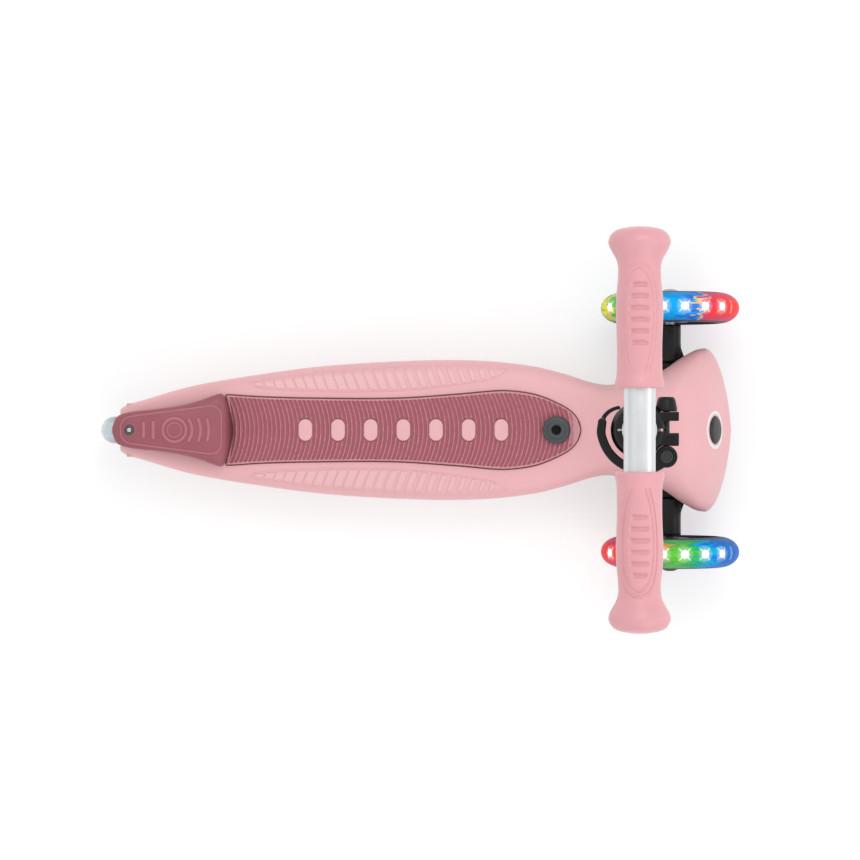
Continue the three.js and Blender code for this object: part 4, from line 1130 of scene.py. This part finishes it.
def brake_lines():
    """The raised lines on the pedal: a frame, two bars, two rings and three arcs."""
    frame_line = eased([(-258.6, -10.6), (-171.2, -22), (-171.2, 22), (-258.6, 10.6)], 12, 10, closed=True)
    lines = [(frame_line, 1.4, 0.7, True)]
    for x, half in ((-238.4, 7.4), (-230, 8.2)):
        lines.append(([(x, -half), (x, half)], 3.0, 1.15, False))
    lines.append((about(DISC_X, 6.2, 0, 2 * math.pi, 40)[:-1], 1.4, 0.7, True))
    lines.append((about(DISC_X, 10.1, 0, 2 * math.pi, 60)[:-1], 2.6, 1.05, True))
    for radius, half in ((15.2, 10.2), (22.6, 10.6), (29.6, 10.2)):
        reach = math.asin(half / radius)
        lines.append((about(DISC_X, radius, -reach, reach, 24), 3.0, 1.15, False))
    lines.append((about(SCREW_X, 5.2, 0, 6.1, 30), 0.9, 0.35, True))
    return lines


dress(relief("brake_relief", on_brake, brake_lines()), BRAKE_RIDGE_HIGHLIGHT, "brake_pedal", sharp=60)

plate_top = curve_through([(-257, 85.6), (-240, 90.8), (-222, 92.4)])
plate = lofted("brake_plate_sheet", [
    [(x, -8.5, z - 3), (x, 8.5, z - 3), (x, 8.5, z), (x, -8.5, z)]
    for x, z in ((x, plate_top(x)) for x in spread(-256, -224, 24))])
cut(plate, screw_hole())
dress(bevelled(plate, 0.4, 2, 50), STEEL, "brake_plate")
screw = turned("brake_screw", eased([
    (0, 86), (2, 86), (2, 93.1), (4.2, 93.1), (4.2, 93.9), (2.9, 94.5), (2.2, 94.4), (2.1, 93.2),
    (0, 93.2)], 0.3), 48)
dress(aimed(screw, (*SCREW, 0), Z), BEARING, "brake_plate_screw")
dress(rod_up("brake_rivet", SCREW, 92.6, 94.1, 1.9, 40, 0.4), CHROME, "brake_plate_screw")
dress(rod_across("brake_pin", BRAKE_PIVOT, -17.5, 25, 2.5, 40, 0.5), STEEL, "brake_pivot_pin")
dress(aimed(coil("brake_coil", 4, 6, 3, 0.8), BRAKE_PIVOT + Y * 17.4, Y), STEEL, "brake_spring")


# ------------------------------------------------------------ front truck
def truck_arm(side, axle):
    """One arm with its two top rails, the rungs between them, and the axle's boss."""
    plan = [(201.5, 0), (205.5, side * 62), (212, side * 75.5), (228.5, side * 75.5),
            (232.5, side * 64), (235.5, side * 40), (230.5, 0)]
    parts = [prism("arm", plan, 52.4, 65.2)]
    for x0, x1 in ((208.5, 211), (225.5, 228)):
        rail = [(x0, side * 8), (x0 + 1, side * 70), (x1 + 1, side * 70), (x1, side * 8)]
        parts.append(prism("rail", rail, 56, 67.6))
    parts += [block("rung", (219, side * y, 62), (18, 2.6, 10.6)) for y in (30, 46, 62)]
    parts.append(rod_across("boss", axle, side * 60, side * 92.2, 9.6, 64))
    parts.append(rod_across("collar", axle, side * 72, side * 75, 9.8, 64))
    return parts


def front_truck():
    """The steering arm: a cast hub on the kingpin, and an arm to each front wheel."""
    axle = FRONT_HUBS["left"]
    parts = [rod("hub", on_kingpin(-6), on_kingpin(6), 16, 64)]
    parts += truck_arm(-1, axle) + truck_arm(1, axle)
    truck = melted(gathered("steering_truck", parts), 0.8, 3)
    cut(truck,
        rod("above", on_kingpin(6), on_kingpin(40), 18, 64),
        rod("below", on_kingpin(-40), on_kingpin(-6), 18, 64),
        rod("kingpin", on_kingpin(-20), on_kingpin(20), 4.8),
        block("notch", (KINGPIN.x + 17, 0, KINGPIN.z - 6), (12, 13.2, 40)))
    return cut(truck, *(rod_across("axle", axle, side * 65, side * 100, 4.2) for side in (-1, 1)))


dress(front_truck(), BLACK, "front_truck", sharp=45)


def bushing(name, start, node):
    profile = [(4.8, 0), (12, 0), (11.2, 1.6), (10.5, 4.5), (11.2, 7.1), (12, 8.7), (4.8, 8.7)]
    body = turned(name, eased(profile, 0.5, closed=True), 64, closed=True)
    dress(aimed(body, on_kingpin(start), KINGPIN_AXIS), RUBBER, node)


bushing("upper_bushing", 6.3, "bushing_upper")
bushing("lower_bushing", -15, "bushing_lower")
dress(rod("kingpin_bolt", on_kingpin(-25), on_kingpin(34), 4.5, 48, 0.6), STEEL, "kingpin")
locknut = hex_nut("kingpin_locknut", 4.7, 9.5, -22.5, -15.7)
dress(aimed(locknut, on_kingpin(0), KINGPIN_AXIS), STEEL, "kingpin_nut")


# ------------------------------------------------------------ steering lock
def lock_button():
    cap = turned("lock_cap", eased([
        (0, 0), (3.5, 0), (3.5, 13), (11.7, 13), (11.7, 19.2), (10.7, 20.3), (8.6, 20.95), (5, 21.3),
        (0, 21.4)], 0.6), 72)
    aimed(cap, on_button(19), BUTTON_NORMAL)
    top, tip = on_button(17), Vector((235.5, 0, 49))
    leg = side_prism("leg", [
        (top.x - 3, top.z + 2), (top.x - 4.5, top.z - 3), (tip.x - 2, tip.z + 6), (tip.x - 3, tip.z),
        (tip.x + 2, tip.z), (tip.x + 4, tip.z + 8), (top.x + 3, top.z - 1)], -2.4, 2.4)
    return joined(cap, bevelled(leg, 0.4, 2))


dress(lock_button(), CHARCOAL, "lock_button")
lock_spring = aimed(coil("lock_spring", 7, 4, 2, 0.7), on_button(11.1), BUTTON_NORMAL)
dress(lock_spring, STEEL, "lock_button_spring")
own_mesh(lock_spring)


def around_button(radius, angle):
    """A point of the deck's skin at a distance from the button's axis."""
    slope = BUTTON_NORMAL.cross(Y).normalized()
    foot = BUTTON_FACE + slope * (radius * math.sin(angle)) + Y * (radius * math.cos(angle))
    x = foot.x
    for _ in range(12):
        gap = deck_z(x, foot.y) - (foot.z + (x - foot.x) * BUTTON_NORMAL.z / BUTTON_NORMAL.x)
        x += gap * 0.25
    return Vector((x, foot.y, deck_z(x, foot.y)))


RING_PROFILE = [(14.0, 0.0), (14.15, 0.14), (15.3, 0.16), (16.45, 0.14), (16.6, 0.0)]  # radius, lift
RING_STEPS = 96


def marking_ring():
    """A thin pale printed ring round the button, draped on the nose."""
    verts = []
    for angle in full_turn(RING_STEPS):
        skin = [(around_button(radius, angle), lift) for radius, lift in RING_PROFILE]
        verts += [point + BUTTON_NORMAL * lift for point, lift in skin]
        verts += [point - BUTTON_NORMAL * 0.5 for point, _ in reversed(skin)]
    return new_object("nose_ring", verts, quads(RING_STEPS, 2 * len(RING_PROFILE), looped=True))


dress(marking_ring(), MARK, "deck_body", sharp=60)

# ------------------------------------------------------------ column and T-bar
TUBE_LENGTH, BUTTON_HOLE, CROSSBAR_AT = 336, 186, 578.2
outer_tube = ring("outer_column", 15, 17, 0, TUBE_LENGTH, 96, 0.4)
cut(outer_tube, block("slit", (17, 0, TUBE_LENGTH - 10), (12, 2.4, 60)),
    block("guide", (-17, 0, BUTTON_HOLE + 50), (12, 9.4, 109.4)))
dress(in_column(outer_tube), ALUMINIUM, "outer_tube", sharp=40)

bush = turned("column_bush", eased([
    (12.2, TUBE_LENGTH - 26), (14.7, TUBE_LENGTH - 26), (14.7, TUBE_LENGTH + 0.3),
    (19.5, TUBE_LENGTH + 0.3), (19.3, TUBE_LENGTH + 1.6), (17.2, TUBE_LENGTH + 4),
    (12.2, TUBE_LENGTH + 5)], 0.7, closed=True), 96, closed=True)
cut(bush, block("slit", (17, 0, TUBE_LENGTH - 10), (12, 2, 40)))
dress(in_column(bush), BLACK, "tube_bush")
key = bevelled(block("bush_key", (-14.6, 0, TUBE_LENGTH + 3.6), (3.6, 1.8, 2.4)), 0.4)
dress(in_column(key), STEEL, "tube_bush")


CROSSBAR_PLACE = (0, 0, CROSSBAR_AT)
CROSSBAR_RADIUS, CROSSBAR_HALF = 11, 130
WELD_RADIUS, WELD_STEPS, WELD_SIDES = 11.85, 160, 10


def t_bar():
    """The inner tube with the crossbar on top, both hollow, and the height button's hole."""
    reach = CROSSBAR_HALF
    bar = rod_across("handlebar_tube", CROSSBAR_PLACE, -reach, reach, CROSSBAR_RADIUS, 96, 0.4)
    joined(bar, turned("stem", [(0, 170), (11.9, 170), (11.9, CROSSBAR_AT), (0, CROSSBAR_AT)], 96))
    stem_bore = rod_up("stem_bore", (0, 0), 160, CROSSBAR_AT, 10.1, 96)
    cut(stem_bore, rod_across("keep", CROSSBAR_PLACE, -20, 20, 10.99, 96))
    cross_bore = rod_across("bore", CROSSBAR_PLACE, -reach - 1, reach + 1, 9.2, 64)
    pin_hole = rod("pin_hole", (-30, 0, BUTTON_HOLE), (-5, 0, BUTTON_HOLE), 4.3)
    return cut(bar, stem_bore, cross_bore, pin_hole)


def on_joint(angle):
    """A point of the line where the stem meets the crossbar."""
    x, y = WELD_RADIUS * math.cos(angle), WELD_RADIUS * math.sin(angle)
    return Vector((x, y, CROSSBAR_AT - math.sqrt(max(CROSSBAR_RADIUS**2 - x * x, 0.0))))


def weld():
    """The bead where the stem meets the crossbar."""
    verts = []
    path = [on_joint(angle) for angle in full_turn(WELD_STEPS)]
    for k, centre in enumerate(path):
        along = (path[(k + 1) % WELD_STEPS] - path[k - 1]).normalized()
        out = Vector((centre.x, centre.y, 0)).normalized()
        ripple = 1 + 0.08 * math.cos(2 * math.pi * k / 5)
        size = lerp(1.4, 0.2, smoothstep(abs(centre.x), 8, 11)) * ripple
        verts += circle(centre, out, out.cross(along).normalized(), size, WELD_SIDES)
    return new_object("stem_weld", verts, quads(WELD_STEPS, WELD_SIDES, looped=True))


dress(in_column(t_bar()), CROSSBAR, "t_bar", sharp=40)
dress(in_column(weld()), CROSSBAR, "t_bar", sharp=60)
height_pin = turned("height_pin", eased([
    (0, 0), (6.2, 0), (6.2, 2), (4, 2), (4, 11.5), (3, 12.6), (1.4, 13), (0, 13)], 0.5), 48)
aimed(height_pin, (-5.6, 0, BUTTON_HOLE), -X)
dress(in_column(height_pin), CHROME, "height_button")
height_spring = aimed(coil("height_coil", 3, 13, 4, 0.6), (8.8, 0, BUTTON_HOLE), -X)
dress(in_column(height_spring), STEEL, "height_button_spring")
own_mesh(height_spring)

# ------------------------------------------------------------ grips
GRIP_INNER, GRIP_OUTER = 28.9, 140
GRIP_BORE, GRIP_STEPS = 11.3, 128
grip_radius = curve_through([
    (28.9, 17.2), (33, 16.9), (36.5, 16.1), (40, 15.7), (50, 15.55), (60, 15.6), (71, 16.0),
    (82, 16.4), (93, 16.0), (103, 15), (111, 14.7), (115, 15.3), (118, 16.3), (122, 18.5),
    (126, 20.6), (129.5, 21.5), (133, 20.5), (135.5, 18.8), (137.3, 16.5), (138.7, 12.7), (139.4, 9)])
GRIP_MARKS = [(59.8, 6.6), (67.8, 7.6), (75.8, 8.0), (83.8, 7.9), (91.8, 7.5), (99.8, 6.4)]


def grip_relief(along, around):
    """How far the skin is pressed in: crescent scoops inside the oval on top and underneath."""
    depth = 0.0
    for place, half in GRIP_MARKS:
        bow = place - 0.5 * (around / half) ** 2
        wave = math.exp(-abs((along - bow) / 1.5) ** 3)
        depth += 1.9 * wave * smoothstep(half - abs(around), -0.3, 2.0)
    return depth


def grip_profile():
    """(radius, distance along) points round the sleeve's wall, from its inner end to its bore."""
    rows = [(GRIP_BORE, GRIP_INNER)]
    for along in [GRIP_INNER + 0.02, 29.1, 29.5, 30.1] + spread(30.8, 133, 200) + spread(133.4, 139.4, 22):
        lip = 1.1 * (1 - smoothstep(along, GRIP_INNER - 0.4, GRIP_INNER + 1.3))
        rows.append((grip_radius(along) - lip, along))
    return rows + [(7.2, 139.7), (4.6, 139.9), (2.2, 139.98), (0, GRIP_OUTER), (0, 131), (GRIP_BORE, 131)]


def on_crossbar(obj):
    obj.data.transform(Matrix.Translation(Z * CROSSBAR_AT * MM))
    return in_column(obj)


def grip(name, side):
    rows = grip_profile()
    verts = []
    for angle in full_turn(GRIP_STEPS):
        folded = abs(((angle + math.pi / 2) % math.pi) - math.pi / 2)
        for radius, along in rows:
            if 50 < along < 110 and radius > GRIP_BORE:
                radius -= grip_relief(along, folded * radius)
            verts.append((radius * math.sin(angle), side * along, radius * math.cos(angle)))
    return on_crossbar(new_object(name, verts, quads(GRIP_STEPS, len(rows), looped=True)))


OVAL_START, OVAL_TIP = 40, 114.6
grip_oval = curve_through([
    (OVAL_START, 7.5), (50, 10.6), (62, 12.9), (78, 14), (92, 13.6), (102, 11.8), (108, 9.2),
    (112, 6), (113.8, 3), (OVAL_TIP, 0)])


def oval_line(tip, pull):
    """An oval open towards the scooter's middle, pulled in from the grip's oval towards its start."""
    edge = []
    for t in spread(0, 1, 60):
        along = lerp(OVAL_START, tip, math.sin(math.pi / 2 * t))
        share = (along - OVAL_START) / (tip - OVAL_START)
        edge.append((along, max(grip_oval(lerp(OVAL_START, OVAL_TIP, share)) - pull * (1 - t**6), 0)))
    edge.pop()
    return [(a, -v) for a, v in edge] + [(tip, 0)] + [(a, v) for a, v in reversed(edge)]


def grip_surface(side, over):
    """The grip's upper side, or its lower side where over is half a turn."""
    def surface(along, around):
        radius = grip_radius(along)
        angle = (around + over * radius) / radius
        return Vector((radius * math.sin(angle), side * along, radius * math.cos(angle)))
    return surface


def grip_lines(name, side):
    ovals = [(oval_line(OVAL_TIP, 0), 1.6, 0.8, False), (oval_line(111, 3.4), 1.2, 0.6, False)]
    lines = [relief("line", grip_surface(side, over), ovals) for over in (0, math.pi)]
    return on_crossbar(gathered(name, lines))


for label, side in SIDES:
    dress(grip(f"{label}_grip_sleeve", side), GRIP_PINK, f"{label}_grip", sharp=55)
    dress(grip_lines(f"{label}_grip_lines", side), GRIP_PINK, f"{label}_grip", sharp=70)

# ------------------------------------------------------------ quick-release clamp
BOLT_X, LEVER_Y, CLAMP_AT = LEVER_PIN
COLLAR_BOTTOM, COLLAR_TOP, COLLAR_RADIUS, COLLAR_BORE = 304, 334, 22, 16
EAR_BACK, EAR_FRONT, EAR_HEIGHT = 14.2, 30.6, 20


def collar_profile():
    bottom, top, radius = COLLAR_BOTTOM + 0.2, COLLAR_TOP - 0.2, COLLAR_RADIUS
    return [(COLLAR_BORE, bottom), (radius - 0.2, bottom), (radius - 0.2, COLLAR_TOP - 7),
            (radius - 1.8, COLLAR_TOP - 2.6), (radius - 4, top), (COLLAR_BORE, top)]


def clamp_ear(y0, y1):
    centre = ((EAR_BACK + EAR_FRONT) / 2, (y0 + y1) / 2, CLAMP_AT)
    return block("ear", centre, (EAR_FRONT - EAR_BACK, y1 - y0, EAR_HEIGHT))


def clamp_collar():
    sleeve = turned("sleeve", eased(collar_profile(), 1.6, closed=True), 96, closed=True)
    ears = [clamp_ear(6.9, 14), clamp_ear(-12.3, -2.2)]
    collar = melted(gathered("quick_clamp", [sleeve, *ears]), 0.55, 2)
    return cut(collar,
               rod_up("bore", (0, 0), 290, 350, 17.3, 96),
               block("slit", (18, 2.3, CLAMP_AT), (40, 9.2, 60)),
               rod_up("cam_seat", LEVER_PIN, 300, 345, 8.8, 64),
               rod_across("bolt_hole", LEVER_PIN, -20, 20, 2.8),
               rod_across("knob_room", LEVER_PIN, 14, 30, 9.2, 64))


dress(in_column(clamp_collar()), BLACK, "clamp_collar", sharp=42)

bolt = rod_across("clamp_rod", LEVER_PIN, LEVER_Y + 4, 22, 2.5, 40, 0.4)
joined(bolt, aimed(ring("eye", 2.9, 5.4, -2.5, 2.5, 48, 0.3), LEVER_PIN, Z))
dress(in_column(bolt), MAGNET, "clamp_bolt")


KNOB_FLUTES = 9


def clamp_knob():
    """The adjusting knob: a tapered nut with scooped flutes."""
    knob = turned("adjusting_knob", eased([
        (2.8, 14.3), (8.3, 14.3), (8.5, 15.2), (8.2, 17.4), (6.9, 23.6), (5.6, 25.4), (0, 25.6),
        (0, 22.4), (2.8, 22.4)], 0.5), 96, closed=True)
    flutes = []
    for k in range(KNOB_FLUTES):
        angle = 2 * math.pi * (k + 0.5) / KNOB_FLUTES
        out = Vector((math.cos(angle), math.sin(angle), 0))
        flutes.append(rod("flute", out * 9.5 + Z * 16.4, out * 7.7 + Z * 27, 1.45, 20))
    cut(knob, *flutes)
    return aimed(knob, (BOLT_X, 0, CLAMP_AT), Y)


dress(in_column(clamp_knob()), BLACK, "clamp_knob", sharp=35)
lever_pin = turned("lever_pivot", eased([
    (0, -11), (2.6, -11), (2.6, 10.3), (5, 10.3), (5, 11.2), (4.2, 11.8), (3.3, 11.75),
    (3.1, 11.45), (1.8, 11.45), (1.6, 11.75), (0, 11.8)], 0.2), 56)
dress(in_column(aimed(lever_pin, LEVER_PIN, Z)), MAGNET, "clamp_lever_pin")


def spine_point(knots, t):
    """A point and its direction on a smooth line through the knots, t from 0 to 1."""
    span = (len(knots) - 1) * t
    i = min(int(span), len(knots) - 2)
    u = span - i
    a, b = Vector(knots[i]), Vector(knots[i + 1])
    before = Vector(knots[i - 1]) if i else a * 2 - b
    after = Vector(knots[i + 2]) if i + 2 < len(knots) else b * 2 - a

    def at(s):
        return 0.5 * ((2 * a) + (b - before) * s + (2 * before - 5 * a + 4 * b - after) * s * s
                      + (3 * a - before - 3 * b + after) * s**3)

    return at(u), (at(u + 0.01) - at(u - 0.01)).normalized()


STRIP_STEPS = 40


def strip_along(name, knots, thick, low, high, shoulder=0.0):
    """A flat bar bent along a line; the shoulder thickens its start on the side away from the collar."""
    sections = []
    for k in range(STRIP_STEPS + 1):
        t = k / STRIP_STEPS
        point, along = spine_point(knots, t)
        half = lerp(thick[0], thick[1], t)
        across = Vector((along.y, -along.x))
        near = point + across * half
        far = point - across * (half + shoulder * max(1 - t / 0.45, 0) ** 2)
        sections.append([(near.x, near.y, low), (far.x, far.y, low), (far.x, far.y, high),
                         (near.x, near.y, high)])
    return lofted(name, sections)


LEVER_SPINE = [(21, -20.5), (11, -28), (-2, -29.6), (-14, -25.6), (-23.5, -16.5), (-28.8, -4), (-28.3, 6)]
LEVER_TIP = [(-28.2, 4), (-27, 9.8), (-23.5, 13.9), (-19, 16.4), (-14.5, 17.6)]


LEVER_HALF_HEIGHT = 10


def clamp_lever():
    """The cam head, the curved arm, and the thin lip at the arm's free end."""
    low, high = CLAMP_AT - LEVER_HALF_HEIGHT, CLAMP_AT + LEVER_HALF_HEIGHT
    arm = bevelled(strip_along("arm", LEVER_SPINE, (3.7, 3.3), low, high, 2.6), 1.6, 4, 50)
    tip = rod_up("tip", LEVER_SPINE[-1], low, high, 3.3, 48, 1.6)
    lip = strip_along("lip", LEVER_TIP, (1.8, 1.3), CLAMP_AT - 8, CLAMP_AT - 2)
    head = rod_up("head", LEVER_PIN, low, high, 8.5, 64, 1)
    lever = melted(gathered("clamp_handle", [arm, tip, lip, head]), 0.5, 2)
    fork = ring("fork", 0.5, 10.5, -2.9, 2.9, 64, 0.1)
    return cut(lever, rod_up("pin_hole", LEVER_PIN, 300, 345, 3), aimed(fork, LEVER_PIN, Z))


dress(in_column(clamp_lever()), BLACK, "clamp_lever", sharp=42)


# ------------------------------------------------------------ floor, lights and camera
FLOOR_HALF, FLOOR_CELLS, FLOOR_THICK = 30.0, 12, 20
SKY = [(0.0, 1.1), (0.07, 1.0), (0.1, 0.62), (0.2, 0.75), (0.45, 1.1), (0.8, 1.12), (0.95, 1.0),
       (1.0, 0.92)]  # brightness by the height of the direction, from the horizon to straight up
LIGHTS = [  # name, place, target, width in metres, watts
    ("key", (0.3, 1.1, 2.1), (0, 0, 0.1), 1.2, 8),
    ("fill", (0.9, -1.1, 1.4), (0.2, 0, 0.1), 1.2, 4),
    ("front", (1.7, 0.0, 1.1), (0.2, 0, 0.1), 0.8, 2),
]
CAMERA_PLACE, CAMERA_LENS = (0.0098, 0.0, 2.818), 131.6


def pale_floor():
    lines = [place / MM for place in spread(-FLOOR_HALF, FLOOR_HALF, FLOOR_CELLS + 1)]
    grid = [[Vector((x, y, 0)) for y in lines] for x in lines]
    under = [[p - Z * FLOOR_THICK for p in row] for row in grid]
    floor = slab_from_grids("studio_floor", grid, under)
    look = Look("floor_white")
    paper = look.clouds(400.0, (0.5, 0.5, 0.5, 1), (0.52, 0.52, 0.52, 1), 2.0)
    look.set(Base_Color=paper, Roughness=0.9, Normal=look.bump(look.noise(2.0), 0.01),
             Emission_Color=WHITE, Emission_Strength=0.5)
    floor.data.materials.append(look.material)


def soft_sky():
    world = bpy.data.worlds.new("studio")
    world.use_nodes = True
    nodes, link = world.node_tree.nodes, world.node_tree.links.new
    background, split = nodes["Background"], nodes.new("ShaderNodeSeparateXYZ")
    ramp = nodes.new("ShaderNodeValToRGB")
    fill_ramp(ramp, [(height, (value, value, value, 1.0)) for height, value in SKY])
    link(nodes.new("ShaderNodeTexCoord").outputs["Generated"], split.inputs[0])
    link(split.outputs["Z"], ramp.inputs["Fac"])
    link(ramp.outputs["Color"], background.inputs["Color"])
    background.inputs["Strength"].default_value = 0.9
    bpy.context.scene.world = world


def area_light(name, place, target, size, watts):
    data = bpy.data.lights.new(name, "AREA")
    data.shape = "DISK"
    data.size = size
    data.energy = watts
    lamp = bpy.data.objects.new(name, data)
    bpy.context.collection.objects.link(lamp)
    lamp.location = Vector(place)
    lamp.rotation_euler = (Vector(target) - Vector(place)).to_track_quat("-Z", "Y").to_euler()


def overhead_camera():
    data = bpy.data.cameras.new("camera")
    data.sensor_width = 36
    data.lens = CAMERA_LENS
    data.clip_end = 50
    camera = bpy.data.objects.new("camera", data)
    camera.location = CAMERA_PLACE
    bpy.context.collection.objects.link(camera)
    bpy.context.scene.camera = camera


pale_floor()
soft_sky()
for light in LIGHTS:
    area_light(*light)
overhead_camera()
bpy.context.scene.view_settings.view_transform = "Standard"
bpy.context.scene.view_settings.look = "None"
